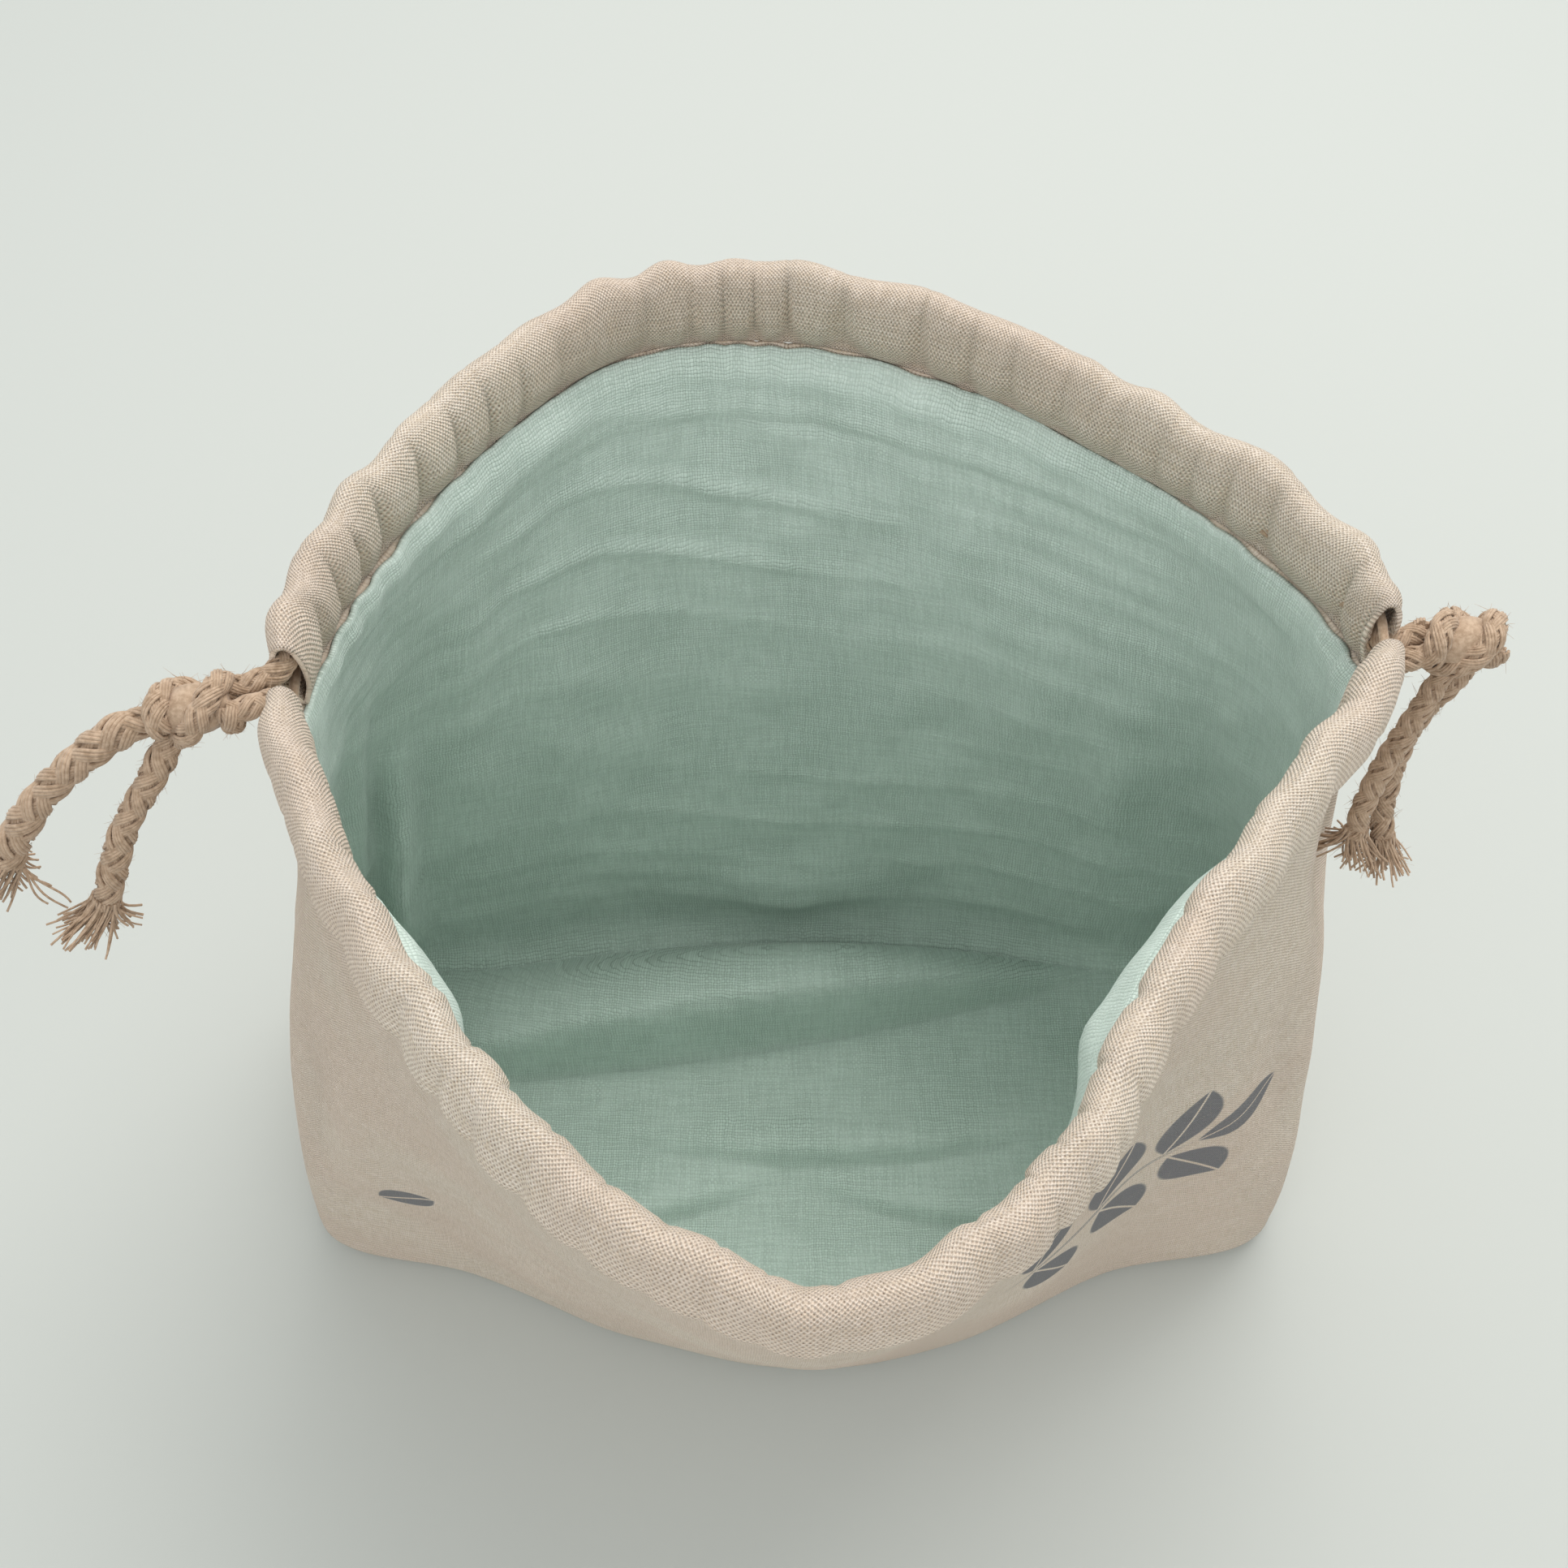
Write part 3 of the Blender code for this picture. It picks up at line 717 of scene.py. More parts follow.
def leaf_mask():
    """A pointed leaf on cloth coordinates, 1 inside it, with a thin bridge along it."""
    found = bpy.data.node_groups.get("leaf_mask")
    if found:
        return found
    inputs = (
        ("Vector", "NodeSocketVector", None),
        ("Middle", "NodeSocketVector", None),
        ("Turn", "NodeSocketFloat", 0.0),
        ("Length", "NodeSocketFloat", 0.02),
        ("Width", "NodeSocketFloat", 0.008),
    )
    group, source, result = new_group("leaf_mask", inputs, ("Mask",))
    places = {0: source.outputs["Vector"], 1: source.outputs["Middle"]}
    away = vector_maths(group, "SUBTRACT", places)
    inputs = {"Vector": away, "Angle": source.outputs["Turn"]}
    turned = put(group, "ShaderNodeVectorRotate", inputs, rotation_type="Z_AXIS")
    parts = put(group, "ShaderNodeSeparateXYZ", {0: turned.outputs[0]})
    half_length = maths(group, "MULTIPLY", source.outputs["Length"], 0.5)
    half_width = maths(group, "MULTIPLY", source.outputs["Width"], 0.5)
    along = maths(group, "DIVIDE", parts.outputs[0], half_length)
    across = maths(group, "ABSOLUTE", maths(group, "DIVIDE", parts.outputs[1], half_width))
    room = maths(group, "SUBTRACT", 1.0, maths(group, "MULTIPLY", along, along))
    inside = remap(group, maths(group, "SUBTRACT", room, across), -0.02, 0.10)
    vein = remap(group, maths(group, "ABSOLUTE", parts.outputs[1]), 0.0002, 0.0005)
    group.links.new(maths(group, "MULTIPLY", inside, vein), result.inputs["Mask"])
    return group


# A plain sprig, printed along the front: middle of each leaf on the cloth from the
# sprig's own middle, its direction in degrees, length and width
SPRIG_PLACE = (0.586, 0.160)
SPRIG = (
    # x, y, direction, length, width
    (-0.0040, 0.0000, 4, 0.0700, 0.0022),
    (0.0370, 0.0030, 6, 0.0260, 0.0150),
    (0.0220, 0.0165, 68, 0.0310, 0.0165),
    (0.0240, -0.0150, -64, 0.0300, 0.0165),
    (0.0020, 0.0170, 72, 0.0330, 0.0170),
    (0.0040, -0.0165, -66, 0.0310, 0.0170),
    (-0.0190, 0.0150, 76, 0.0300, 0.0155),
    (-0.0165, -0.0165, -68, 0.0290, 0.0155),
    (-0.1750, -0.0340, 50, 0.0210, 0.0105),
)


def sprig(tree, vector):
    """Mask of the printed sprig."""
    total = 0.0
    for x, y, direction, length, width in SPRIG:
        inputs = {
            "Vector": vector,
            "Middle": (SPRIG_PLACE[0] + x, SPRIG_PLACE[1] + y, 0.0),
            "Turn": -math.radians(direction),
            "Length": length,
            "Width": width,
        }
        leaf = put(tree, "ShaderNodeGroup", inputs, node_tree=leaf_mask())
        total = maths(tree, "MAXIMUM", leaf.outputs[0], total)
    return total


def new_material(name):
    made = bpy.data.materials.new(name)
    made.use_nodes = True
    tree = made.node_tree
    shader = tree.nodes["Principled BSDF"]
    return made, tree, shader


def weave_nodes(tree, pitch, wobble, roundness, narrowing):
    cloth = put(tree, "ShaderNodeUVMap", uv_map="UVMap").outputs[0]
    inputs = {
        "Vector": cloth,
        "Pitch": pitch,
        "Wobble": wobble,
        "Roundness": roundness,
        "Narrowing": narrowing,
    }
    weave = put(tree, "ShaderNodeGroup", inputs, node_tree=woven_threads())
    return cloth, weave


def finish_fabric(tree, shader, colour, surface, sheen, height, strength, distance):
    """Joins a fabric's colour and bump: surface is its roughness and specular level,
    sheen its weight and roughness."""
    tree.links.new(colour, shader.inputs["Base Color"])
    labels = ("Roughness", "Specular IOR Level", "Sheen Weight", "Sheen Roughness")
    for label, value in zip(labels, (*surface, *sheen)):
        shader.inputs[label].default_value = value
    inputs = {"Strength": strength, "Distance": distance, "Height": height}
    bump = put(tree, "ShaderNodeBump", inputs)
    tree.links.new(bump.outputs[0], shader.inputs["Normal"])


def canvas_material(name, settings, printed):
    made, tree, shader = new_material(name)
    cloth, weave = weave_nodes(tree, settings.canvas_pitch, 0.24, 0.8, 1.31)
    place = put(tree, "ShaderNodeTexCoord").outputs["Object"]
    pale, deep = tuple(settings.canvas_pale), tuple(settings.canvas_deep)
    streak = remap(tree, weave.outputs["Streak"], 0.30, 0.68)
    colour = blend_colours(tree, streak, deep, pale)
    tone = remap(tree, noise(tree, place, 18.0, 2.0), 0.35, 0.65)
    rosy = blend_colours(tree, 0.35, colour, linear(233, 205, 186))
    colour = blend_colours(tree, tone, colour, rosy)
    pebble = weave.outputs["Pebble"]
    # Painted shade: the pits between the pebbles are darkened towards brown, as the weft there
    # lies in shade.
    painted_gap_shade = maths(tree, "MULTIPLY", remap(tree, pebble, 0.05, 0.52, 1.0, 0.0), 0.60)
    colour = blend_colours(tree, painted_gap_shade, colour, linear(150, 120, 98))
    # Dark brown dots at random in the pits between the pebbles.
    uneven = remap(tree, noise(tree, cloth, 700.0, 2.0), 0.50, 0.66)
    specks = maths(tree, "MULTIPLY", uneven, remap(tree, pebble, 0.0, 0.3, 1.0, 0.0))
    specks = maths(tree, "MULTIPLY", specks, 0.60)
    fleck = blend_colours(tree, specks, colour, linear(104, 76, 58))
    if printed:
        ink = maths(tree, "MULTIPLY", sprig(tree, cloth), 0.92)
        worn = remap(tree, weave.outputs["Streak"], 0.25, 0.45, 0.80, 1.0)
        ink = maths(tree, "MULTIPLY", ink, worn)
        fleck = blend_colours(tree, ink, fleck, tuple(settings.ink))
    height = maths(tree, "ADD", pebble, maths(tree, "MULTIPLY", streak, 0.30))
    finish_fabric(tree, shader, fleck, (0.92, 0.25), (0.15, 0.6), height, 1.0, 0.00048)
    return made


def muslin_material(settings):
    made, tree, shader = new_material("gauze")
    cloth, weave = weave_nodes(tree, settings.muslin_pitch, 0.45, 0.35, 1.0)
    pale, deep = tuple(settings.muslin_pale), tuple(settings.muslin_deep)
    streak = remap(tree, weave.outputs["Streak"], 0.32, 0.66)
    colour = blend_colours(tree, streak, deep, pale)
    patch = remap(tree, noise(tree, cloth, 34.0, 3.0), 0.36, 0.64)
    opened = maths(tree, "ADD", maths(tree, "MULTIPLY", patch, 0.55), 0.18)
    # Painted shade: the gaps between the lining's yarns are painted a dark green, more where
    # the weave is more open.
    painted_gap_shade = remap(tree, weave.outputs["Height"], 0.05, 0.55, 1.0, 0.0)
    painted_gap_shade = maths(tree, "MULTIPLY", painted_gap_shade, opened)
    colour = blend_colours(tree, painted_gap_shade, colour, tuple(settings.muslin_gap_shade))
    crinkle = maths(tree, "MULTIPLY", noise(tree, cloth, 420.0, 3.0), 0.8)
    height = maths(tree, "ADD", weave.outputs["Height"], crinkle)
    finish_fabric(tree, shader, colour, (0.95, 0.2), (0.2, 0.5), height, 0.7, 0.00022)
    return made


def rope_material(settings):
    made, tree, shader = new_material("cotton_rope")
    place = put(tree, "ShaderNodeTexCoord").outputs["Object"]
    pale, deep = tuple(settings.rope_pale), tuple(settings.rope_deep)
    mottle = remap(tree, noise(tree, place, 900.0, 3.0, 0.6), 0.30, 0.70)
    colour = blend_colours(tree, mottle, deep, pale)
    broad = remap(tree, noise(tree, place, 120.0, 2.0), 0.35, 0.65)
    dusty = blend_colours(tree, 0.30, colour, linear(204, 178, 154))
    colour = blend_colours(tree, broad, colour, dusty)
    fibre = noise(tree, place, 4200.0, 2.0)
    finish_fabric(tree, shader, colour, (0.9, 0.2), (0.25, 0.5), fibre, 0.5, 0.00012)
    return made


def material_of(name, make, *details):
    found = bpy.data.materials.get(name)
    return found if found else make(*details)


# Settings


def colour_setting(name, description, *colour):
    return bpy.props.FloatVectorProperty(
        name=name, description=description, default=linear(*colour), subtype="COLOR"
    )


def length_setting(name, description, value):
    return bpy.props.FloatProperty(
        name=name, description=description, default=value, unit="LENGTH"
    )


class StorageBagCloth(bpy.types.PropertyGroup):
    """Canvas and lining."""

    canvas_pitch: length_setting(
        "Canvas pitch", "Distance between the canvas's threads", 0.00061
    )
    canvas_pale: colour_setting(
        "Canvas, pale yarn", "Colour of the lightest canvas yarn", 250, 237, 222
    )
    canvas_deep: colour_setting(
        "Canvas, deep yarn", "Colour of the darkest canvas yarn", 228, 211, 188
    )
    ink: colour_setting("Print", "Colour of the printed sprig", 104, 106, 112)
    muslin_pitch: length_setting(
        "Muslin pitch", "Distance between the lining's threads", 0.00073
    )
    muslin_pale: colour_setting(
        "Muslin, pale yarn", "Colour of the lightest lining yarn", 226, 240, 232
    )
    muslin_deep: colour_setting(
        "Muslin, deep yarn", "Colour of the darkest lining yarn", 206, 221, 212
    )
    # Painted shade: the dark colour painted into the gaps between the lining's yarns.
    muslin_gap_shade: colour_setting(
        "Muslin, gaps", "Colour seen between the lining's yarns", 146, 164, 153
    )


class StorageBagRope(bpy.types.PropertyGroup):
    """Rope."""

    lay: length_setting("Lay", "Length in which a strand goes once round the rope", 0.0165)
    yarn: length_setting("Yarn radius", "Radius of one yarn of the braid", 0.00031)
    rope_pale: colour_setting(
        "Pale yarn", "Colour of the lightest rope yarn", 196, 171, 147
    )
    rope_deep: colour_setting("Deep yarn", "Colour of the darkest rope yarn", 160, 134, 110)


class StorageBagStage(bpy.types.PropertyGroup):
    """Floor, light and camera."""

    floor: colour_setting("Floor", "Colour of the floor", 196, 199, 195)
    lens: bpy.props.FloatProperty(
        name="Lens",
        description="Focal length of the camera, in millimetres",
        default=42.86,
    )
    pitch: bpy.props.FloatProperty(
        name="Pitch",
        description="How far the camera looks down",
        default=math.radians(58.0),
        subtype="ANGLE",
    )
    camera_place: bpy.props.FloatVectorProperty(
        name="Camera",
        description="Place of the camera",
        default=(-0.003, -0.208, 0.5045),
        subtype="TRANSLATION",
    )
    key: bpy.props.FloatProperty(
        name="Key light",
        description="Power of the main light",
        default=9.5,
        subtype="POWER",
    )
    fill: bpy.props.FloatProperty(
        name="Surroundings",
        description="Strength of the light from all round",
        default=0.86,
    )


# Pieces


class STORAGEBAG_OT_stage(bpy.types.Operator):
    """Makes the floor, the lights and the camera"""

    bl_idname = "storagebag.stage"
    bl_label = "Stage"

    def execute(self, context):
        settings = context.scene.storage_bag_stage
        bm = bmesh.new()
        bmesh.ops.create_grid(bm, x_segments=1, y_segments=1, size=3.0)
        mesh = bpy.data.meshes.new("floor")
        bm.to_mesh(mesh)
        bm.free()
        made, _, shader = new_material("matt_floor")
        shader.inputs["Base Color"].default_value = (*settings.floor, 1.0)
        shader.inputs["Roughness"].default_value = 0.8
        mesh.materials.append(made)
        floor = bpy.data.objects.new("floor", mesh)
        context.scene.collection.objects.link(floor)
        lights = (
            ("key_light", (0.25, 0.50, 1.20), 0.8, settings.key, (1.0, 0.98, 0.95)),
            ("front_light", (-0.5, -1.0, 1.1), 1.2, 0.30 * settings.key, (0.97, 0.98, 1.0)),
        )
        for name, place, size, power, colour in lights:
            lamp = bpy.data.lights.new(name, "AREA")
            lamp.size = size
            lamp.energy = power
            lamp.color = colour
            holder = bpy.data.objects.new(name, lamp)
            holder.location = place
            aim = np.array([0.0, 0.0, 0.12]) - np.array(place)
            flat = math.hypot(aim[0], aim[1])
            tilt, turn = math.atan2(flat, -aim[2]), math.atan2(-aim[0], aim[1])
            holder.rotation_euler = (tilt, 0.0, turn)
            context.scene.collection.objects.link(holder)
        world = bpy.data.worlds.new("studio")
        world.use_nodes = True
        background = world.node_tree.nodes["Background"]
        background.inputs["Color"].default_value = (0.93, 0.96, 0.95, 1.0)
        background.inputs["Strength"].default_value = settings.fill
        context.scene.world = world
        context.scene.view_settings.view_transform = "Standard"
        camera = bpy.data.cameras.new("camera")
        camera.lens = settings.lens
        camera.sensor_width = 36.0
        holder = bpy.data.objects.new("camera", camera)
        holder.location = settings.camera_place
        holder.rotation_euler = (0.5 * math.pi - settings.pitch, 0.0, 0.0)
        context.scene.collection.objects.link(holder)
        context.scene.camera = holder
        return {"FINISHED"}


def rope_finish(context):
    return material_of("cotton_rope", rope_material, context.scene.storage_bag_rope)


class STORAGEBAG_OT_tails(bpy.types.Operator):
    """Makes the free rope ends, each with its frayed end"""

    bl_idname = "storagebag.tails"
    bl_label = "Rope ends"

    def execute(self, context):
        settings = context.scene.storage_bag_rope
        for seed, (name, route) in enumerate(TAIL_ROUTES.items()):
            side = "left" if "left" in name else "right"
            inside = np.array(route[0]) * 0.78 + np.array(KNOT_MIDDLES[side]) * 0.22
            points = even_route([inside, *route], BRAID_STEP)
            share = np.linspace(0, 1, len(points))
            wide = TAIL_WIDTHS[name]
            growth = wide * (1.0 + 0.05 * np.sin(9 * share + seed))
            growth = growth * (1.0 - 0.22 * smooth_step((0.12 - share) / 0.12))
            radius = 0.5 * ROPE_DIAMETER
            yarns = braid(points, radius, settings.lay * wide, settings.yarn, seed, growth)
            yarns = yarns + fuzz(points, radius * wide, 130, seed + 40, 0.0022 / wide ** 2)
            obj = strands_piece(name + "_braid", yarns, settings.yarn)
            finish_piece(obj, "rope", rope_finish(context), name)
            fray = self.fray(name, points, settings, seed, wide)
        return {"FINISHED"}

    def loose(self, points, radius):
        """Single yarns that hang from the side of a worn end."""
        rng = np.random.default_rng(5)
        yarns = []
        for i, length in enumerate((0.009, 0.0145, 0.0155, 0.0075, 0.011)):
            start = points[-9 + 2 * i] + np.array([0.0012 * (i - 2), -0.0004, -0.9 * radius])
            t = np.linspace(0, 1, 12)[:, None]
            lean = np.array([0.30 + 0.09 * i, -0.35, -0.62])
            sway = np.array([0.0012, 0.0008, 0.0]) * np.sin(5 * t + i) * t
            spot = start + lean * length * t + sway * rng.uniform(0.5, 1.0)
            yarns.append((spot, np.linspace(0.9, 0.65, 12)))
        return yarns

    def fray(self, name, points, settings, seed, wide):
        """Loosened yarns in two brushes past the end of a tail."""
        rng = np.random.default_rng(seed + 7)
        end = points[-1]
        direction = unit(points[-1] - points[-8])
        side = unit(np.cross(direction, (0.2, 0.5, 1.0)))
        above = np.cross(direction, side)
        yarns = []
        for i in range(84):
            brush = -0.62 if i % 5 < 3 else 0.50
            turn = rng.uniform(0, 2 * np.pi)
            out = side * math.cos(turn) + above * math.sin(turn)
            reach = 0.5 * ROPE_DIAMETER * math.sqrt(rng.uniform(0, 1)) * 0.95 * wide
            start = end + out * reach - direction * 0.0022
            length = FRAY_LENGTH * rng.uniform(0.72, 1.12) * (1.0 if i % 5 < 3 else 0.82)
            aim = unit(direction + brush * side + 0.30 * out + 0.10 * rng.normal(size=3))
            curl = np.cross(aim, rng.normal(size=3)) * 0.0007
            t = np.linspace(0, 1, 8)[:, None]
            spot = start + (direction * (1 - t ** 0.7) + aim * t ** 0.7) * t * length
            spot = spot + curl * np.sin(t * rng.uniform(2, 5)) * t
            yarns.append((spot, np.linspace(1.0, 0.78, 8) * rng.uniform(0.75, 1.05)))
        plug = np.array([end - direction * 0.002, end + direction * 0.0015])
        yarns.append((plug, 5.5 * wide))
        brush_line = np.array([end, end + direction * 0.004, end + direction * 0.008])
        yarns = yarns + fuzz(brush_line, 0.003, 50, seed + 90, 0.003)
        if name == "tail_left_outer":
            yarns = yarns + self.loose(points, 0.5 * ROPE_DIAMETER * wide)
        node = name.replace("tail", "fray")
        obj = strands_piece(node + "_yarns", yarns, settings.yarn)
        finish_piece(obj, "rope", rope_finish(bpy.context), node)
        return obj


class STORAGEBAG_OT_drawstrings(bpy.types.Operator):
    """Makes the two braided drawstrings"""

    bl_idname = "storagebag.drawstrings"
    bl_label = "Drawstrings"

    def execute(self, context):
        settings = context.scene.storage_bag_rope
        radius = 0.5 * ROPE_DIAMETER
        for seed, side in enumerate(("left", "right")):
            start, back, front, finish = drawstring_route(side)
            hidden = even_route(np.vstack([start, back[1:], front, finish[1:]]), 0.004)
            core = HIDDEN_ROPE_RADIUS / settings.yarn
            yarns = [(hidden, core)]
            for end in (np.vstack([start, back[1:5]]), np.vstack([front[-5:-1], finish])):
                points = even_route(end, BRAID_STEP)
                yarns = yarns + braid(points, radius, settings.lay, settings.yarn, seed)
                yarns = yarns + fuzz(points, radius, 90, seed + 60)
            obj = strands_piece("drawstring_" + side + "_braid", yarns, settings.yarn)
            finish_piece(obj, "rope", rope_finish(context), "drawstring_" + side)
        return {"FINISHED"}


class STORAGEBAG_OT_knots(bpy.types.Operator):
    """Makes the knot of each drawstring"""

    bl_idname = "storagebag.knots"
    bl_label = "Knots"

    def execute(self, context):
        settings = context.scene.storage_bag_rope
        for side in ("left", "right"):
            direction = unit(KNOT_DIRECTIONS[side])
            beside = unit(np.cross(direction, (0, 0, 1)))
            above = np.cross(beside, direction)
            middle = np.array(KNOT_MIDDLES[side])
            yarns = []
            for strand in (0, 1):
                t = np.linspace(0, 1, 60)
                turn = np.pi * strand + 2 * np.pi * 1.05 * t - 0.4
                span = 0.5 * KNOT_LENGTH - 0.0012
                along = span * np.sin(np.pi * (t - 0.5)) * (1.0 - 0.15 * np.cos(2 * np.pi * t))
                swell = 0.0025 + 0.0019 * np.sin(np.pi * t) ** 0.6
                route = middle + direction * along[:, None]
                route = route + beside * (swell * np.cos(turn))[:, None]
                route = route + above * (swell * np.sin(turn))[:, None]
                points = even_route(route, BRAID_STEP)
                yarns = yarns + braid(
                    points, 0.5 * ROPE_DIAMETER, settings.lay, settings.yarn, strand
                )
                yarns = yarns + fuzz(points, 0.5 * ROPE_DIAMETER, 90, strand + 20)
            core = np.linspace(-0.5, 0.5, 9)[:, None] * direction * (KNOT_LENGTH - 0.004)
            thick = (0.0022 + 0.0030 * np.cos(np.linspace(-1.4, 1.4, 9))) / settings.yarn
            yarns.append((middle + core, thick))
            obj = strands_piece("knot_" + side + "_wraps", yarns, settings.yarn)
            finish_piece(obj, "rope", rope_finish(context), "knot_" + side)
        return {"FINISHED"}


class STORAGEBAG_OT_shell(bpy.types.Operator):
    """Makes the canvas walls and base"""

    bl_idname = "storagebag.shell"
    bl_label = "Canvas shell"

    def execute(self, context):
        settings = context.scene.storage_bag_cloth
        columns = 320
        floor = np.array([0.0, 0.35, 0.7])
        rounded = np.array([0.0, 0.0006, 0.0018, 0.0036])
        heights = np.concatenate([rounded, np.linspace(0.006, WALL_HEIGHT, 112)])
        rows = len(floor) + len(heights) - 1

        def place(column, row):
            turn = column / columns
            height = heights[np.clip(row - len(floor), 0, None)]
            share = height / WALL_HEIGHT
            relief = canvas_relief(turn, share) * smooth_step(height / 0.012)
            relief = relief + edge_inset(height, BASE_EDGE_RADIUS)
            points = wall_place(turn, height, relief)
            inner = floor[np.clip(row, 0, len(floor) - 1)]
            drawn = np.where(row < len(floor), inner, 1.0)
            return drawn_to_middle(points, drawn)

        def chart(column, row, below, points):
            wall = wall_chart(column, points, columns)
            on_floor = (below < len(floor))[:, None]
            return np.where(on_floor, points[:, :2] + 1.0, wall)

        obj = grid_piece("canvas_shell", columns, rows, place, chart)
        thicken(obj, CANVAS_THICKNESS)
        made = canvas_material("printed_canvas", settings, True)
        finish_piece(obj, "canvas", made, "outer_shell")
        return {"FINISHED"}


class STORAGEBAG_OT_lining(bpy.types.Operator):
    """Makes the gauze lining with its tucks and floor folds"""

    bl_idname = "storagebag.lining"
    bl_label = "Lining"

    def execute(self, context):
        settings = context.scene.storage_bag_cloth
        columns = 288
        inset = CANVAS_THICKNESS + SEAM_GAP
        floor = np.linspace(0.0, 0.98, 46)
        rounded = inset + LINING_EDGE_RADIUS * np.array([0.0, 0.03, 0.09, 0.2, 0.35, 0.5, 0.75])
        heights = np.concatenate(
            [rounded, np.linspace(inset + LINING_EDGE_RADIUS, WALL_HEIGHT + 0.0002, 104)]
        )
        rows = len(floor) + len(heights) - 1

        def place(column, row):
            turn = column / columns
            height = heights[np.clip(row - len(floor), 0, None)]
            share = height / WALL_HEIGHT
            eased = smooth_step((height - inset) / 0.02)
            relief = inset + lining_relief(turn, share) * eased
            relief = relief + canvas_relief(turn, share) * smooth_step(height / 0.012)
            relief = relief + edge_inset(height, LINING_EDGE_RADIUS)
            points = wall_place(turn, height, relief)
            inner = floor[np.clip(row, 0, len(floor) - 1)]
            drawn = np.where(row < len(floor), inner, 1.0)
            points = drawn_to_middle(points, drawn)
            rise = floor_rise(points[:, 0], points[:, 1]) * (1.0 - drawn ** 8)
            points[:, 2] += np.where(row < len(floor), rise, 0.0)
            return points

        def chart(column, row, below, points):
            wall = wall_chart(column, points, columns)
            on_floor = (below < len(floor))[:, None]
            flat = points[:, :2] + 1.0 + points[:, 2:] * np.array([0.0, 0.8])
            return np.where(on_floor, flat, wall)

        obj = grid_piece("gauze_lining", columns, rows, place, chart)
        thicken(obj, LINING_THICKNESS)
        made = material_of("gauze", muslin_material, settings)
        finish_piece(obj, "muslin", made, "lining")
        return {"FINISHED"}


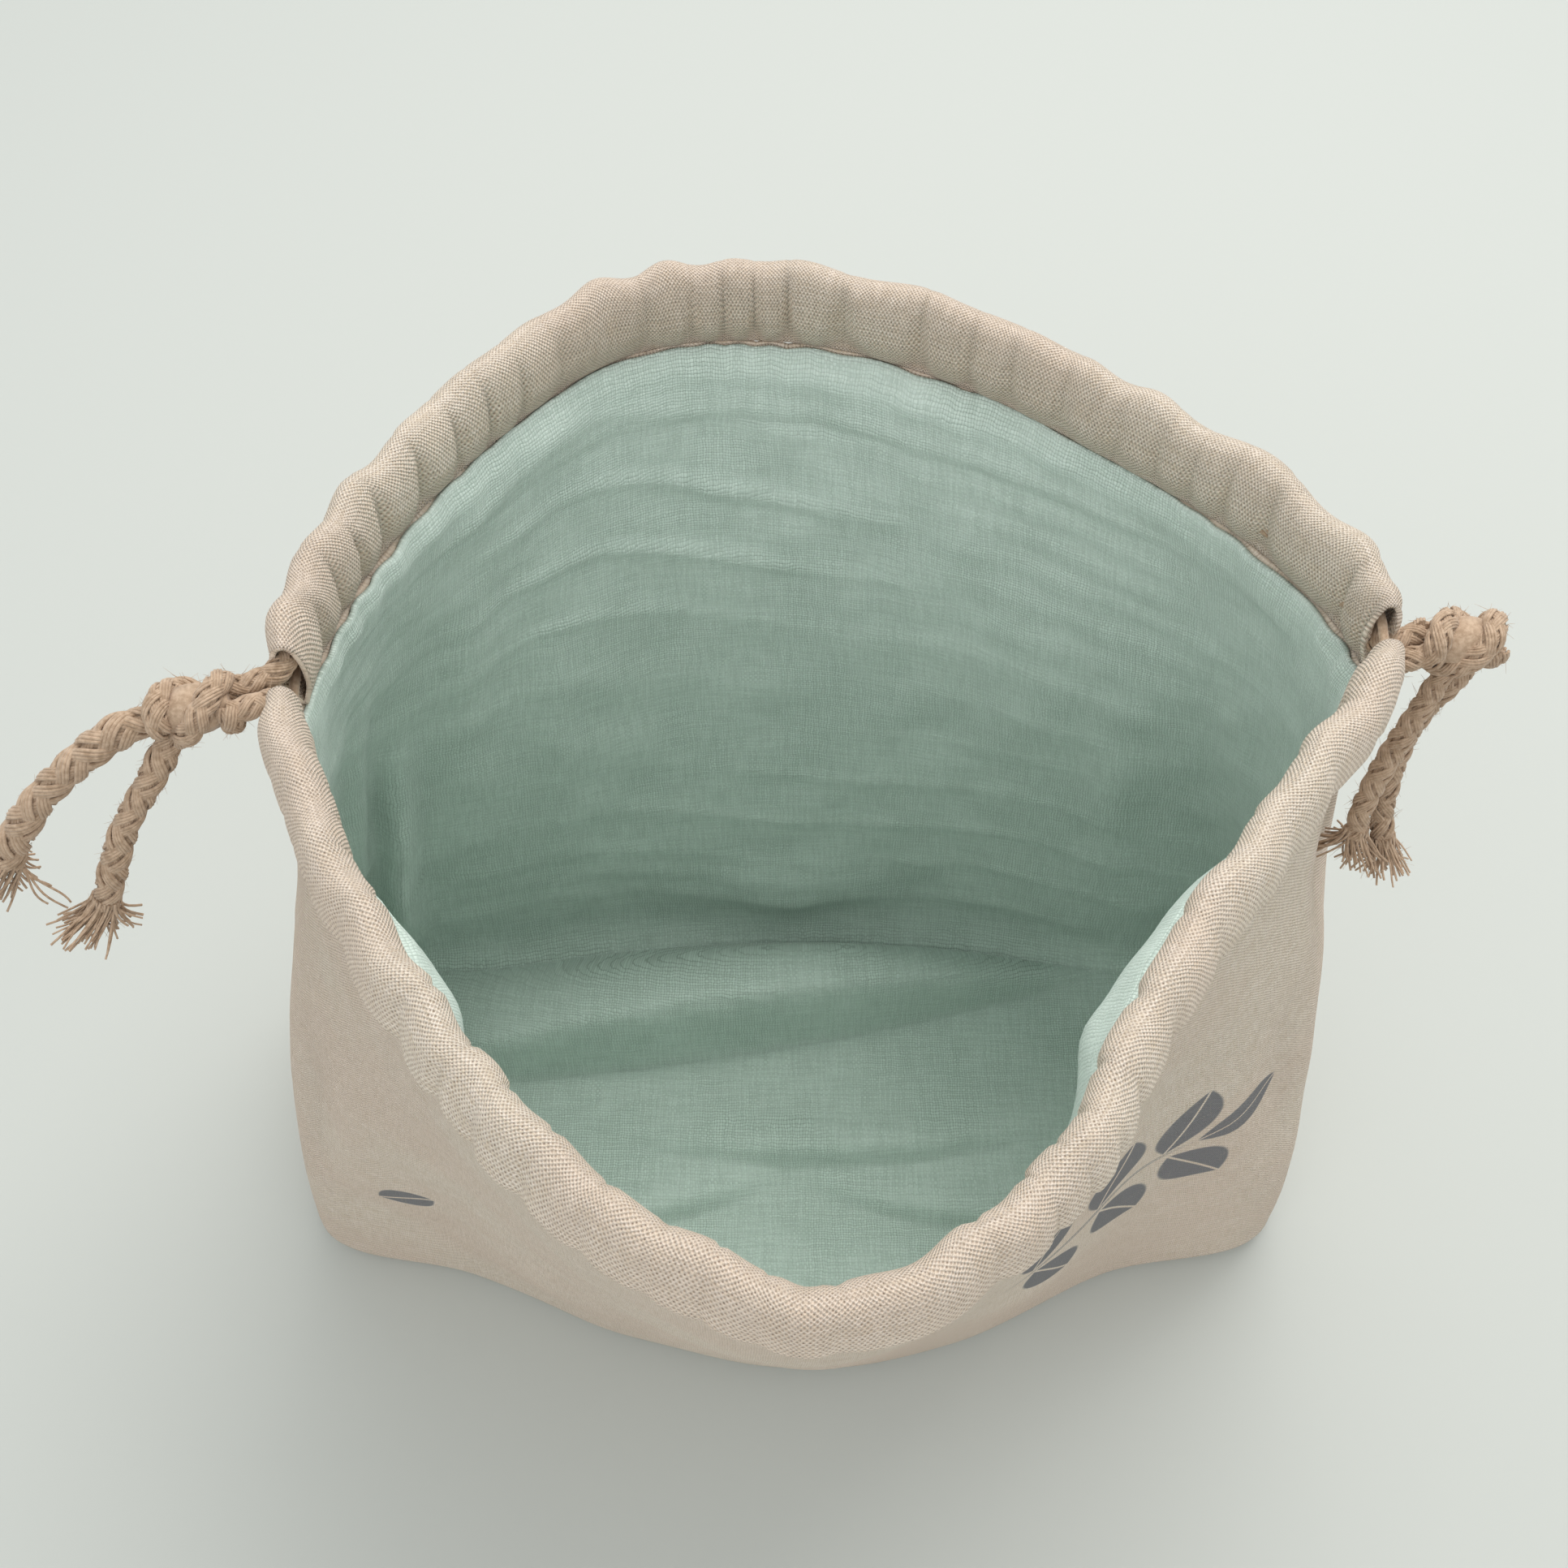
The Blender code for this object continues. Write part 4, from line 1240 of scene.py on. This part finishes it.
class STORAGEBAG_OT_casings(bpy.types.Operator):
    """Makes the gathered tunnels that the drawstrings run in"""

    bl_idname = "storagebag.casings"
    bl_label = "Casings"

    def execute(self, context):
        settings = context.scene.storage_bag_cloth
        made = canvas_material("rim_canvas", settings, False)
        columns, around = 300, 44
        half = 0.5 * ROPE_DIAMETER + ROPE_CLEARANCE + CASING_WALL + 0.0006
        for name, start in (("casing_back", 0.0), ("casing_front", 0.5)):
            turns = casing_turns(start, columns, CASING_OPENING - 0.007)

            def place(column, row):
                turn = turns[column]
                angle = 2 * np.pi * row / around
                power = np.where(np.sin(angle) < 0, 0.85, 0.30)
                across = np.sign(np.cos(angle)) * np.abs(np.cos(angle)) ** power
                up = 0.5 - 0.5 * np.sign(np.sin(angle)) * np.abs(np.sin(angle)) ** 0.9
                rising = smooth_step(up / 0.40)
                foot = CANVAS_THICKNESS + SEAM_GAP + LINING_THICKNESS + 0.0003
                reach = np.where(across < 0, foot + (half - foot) * rising, half * rising)
                beat = GATHERS * turn + pucker_drift(turn)
                crease = 1.0 - np.abs(np.sin(np.pi * beat))
                drawn = np.clip(1.3 * crease - 0.95 * up, 0.0, 1.0) * smooth_step(up / 0.06)
                drawn = drawn * (0.72 + 0.28 * np.sin(2 * np.pi * 5 * turn + 0.6))
                out = across * reach * (1.0 - drawn * np.where(across < 0, 0.70, 0.34))
                end = np.minimum(column, columns - column) / columns * 0.32
                close = smooth_step(end / 0.007)
                out = out * (0.74 + 0.26 * close)
                sway = 0.0007 * np.sin(2 * np.pi * (29 * turn + 0.25 * np.sin(40 * turn)))
                out = out + sway * up * close
                lift = 0.0009 * np.sin(2 * np.pi * (31 * turn + 0.3 * np.sin(44 * turn)))
                notch = np.exp(-(((turn - 0.742) / 0.0045) ** 2))
                height = up * (CASING_HEIGHT + (lift * close - 0.0022 * notch) * up)
                height = height * (0.90 + 0.10 * close)
                normal = plan_normal(turn, np.ones_like(turn))
                plan = casing_plan(turn, height) + normal * out[:, None]
                return np.column_stack([plan, WALL_HEIGHT + 0.0001 + height])

            def chart(column, row, below, points):
                run = turns[column] * CLOTH_ROUND
                return np.stack([run, row / around * 0.050 + 0.6], -1)

            obj = grid_piece(name + "_gathers", columns, around, place, chart)
            thicken(obj, CASING_WALL)
            finish_piece(obj, "canvas", made, name)
        return {"FINISHED"}


class STORAGEBAG_PT_panel(bpy.types.Panel):
    """Sizes, colours and pieces of the storage bag"""

    bl_idname = "STORAGEBAG_PT_panel"
    bl_label = "Storage Bag"
    bl_space_type = "VIEW_3D"
    bl_region_type = "UI"
    bl_category = "Storage Bag"

    def draw(self, context):
        for label, group in SETTINGS.items():
            box = self.layout.box()
            box.label(text=group.__doc__)
            held = getattr(context.scene, label)
            for key in group.__annotations__:
                box.prop(held, key)
        for operator in OPERATORS:
            self.layout.operator(operator.bl_idname)


SETTINGS = {
    "storage_bag_cloth": StorageBagCloth,
    "storage_bag_rope": StorageBagRope,
    "storage_bag_stage": StorageBagStage,
}
OPERATORS = (
    STORAGEBAG_OT_stage,
    STORAGEBAG_OT_tails,
    STORAGEBAG_OT_drawstrings,
    STORAGEBAG_OT_knots,
    STORAGEBAG_OT_shell,
    STORAGEBAG_OT_lining,
    STORAGEBAG_OT_casings,
)


def register():
    for group in SETTINGS.values():
        bpy.utils.register_class(group)
    for operator in OPERATORS:
        bpy.utils.register_class(operator)
    bpy.utils.register_class(STORAGEBAG_PT_panel)
    for label, group in SETTINGS.items():
        setattr(bpy.types.Scene, label, bpy.props.PointerProperty(type=group))


def unregister():
    """Takes back what register added, in the other order."""
    for label in SETTINGS:
        delattr(bpy.types.Scene, label)
    bpy.utils.unregister_class(STORAGEBAG_PT_panel)
    for operator in reversed(OPERATORS):
        bpy.utils.unregister_class(operator)
    for group in reversed(SETTINGS.values()):
        bpy.utils.unregister_class(group)


def main():
    register()
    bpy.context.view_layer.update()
    bpy.ops.storagebag.stage()
    bpy.ops.storagebag.tails()
    bpy.ops.storagebag.drawstrings()
    bpy.ops.storagebag.knots()
    bpy.ops.storagebag.shell()
    bpy.ops.storagebag.lining()
    bpy.ops.storagebag.casings()


if __name__ == "__main__":
    main()
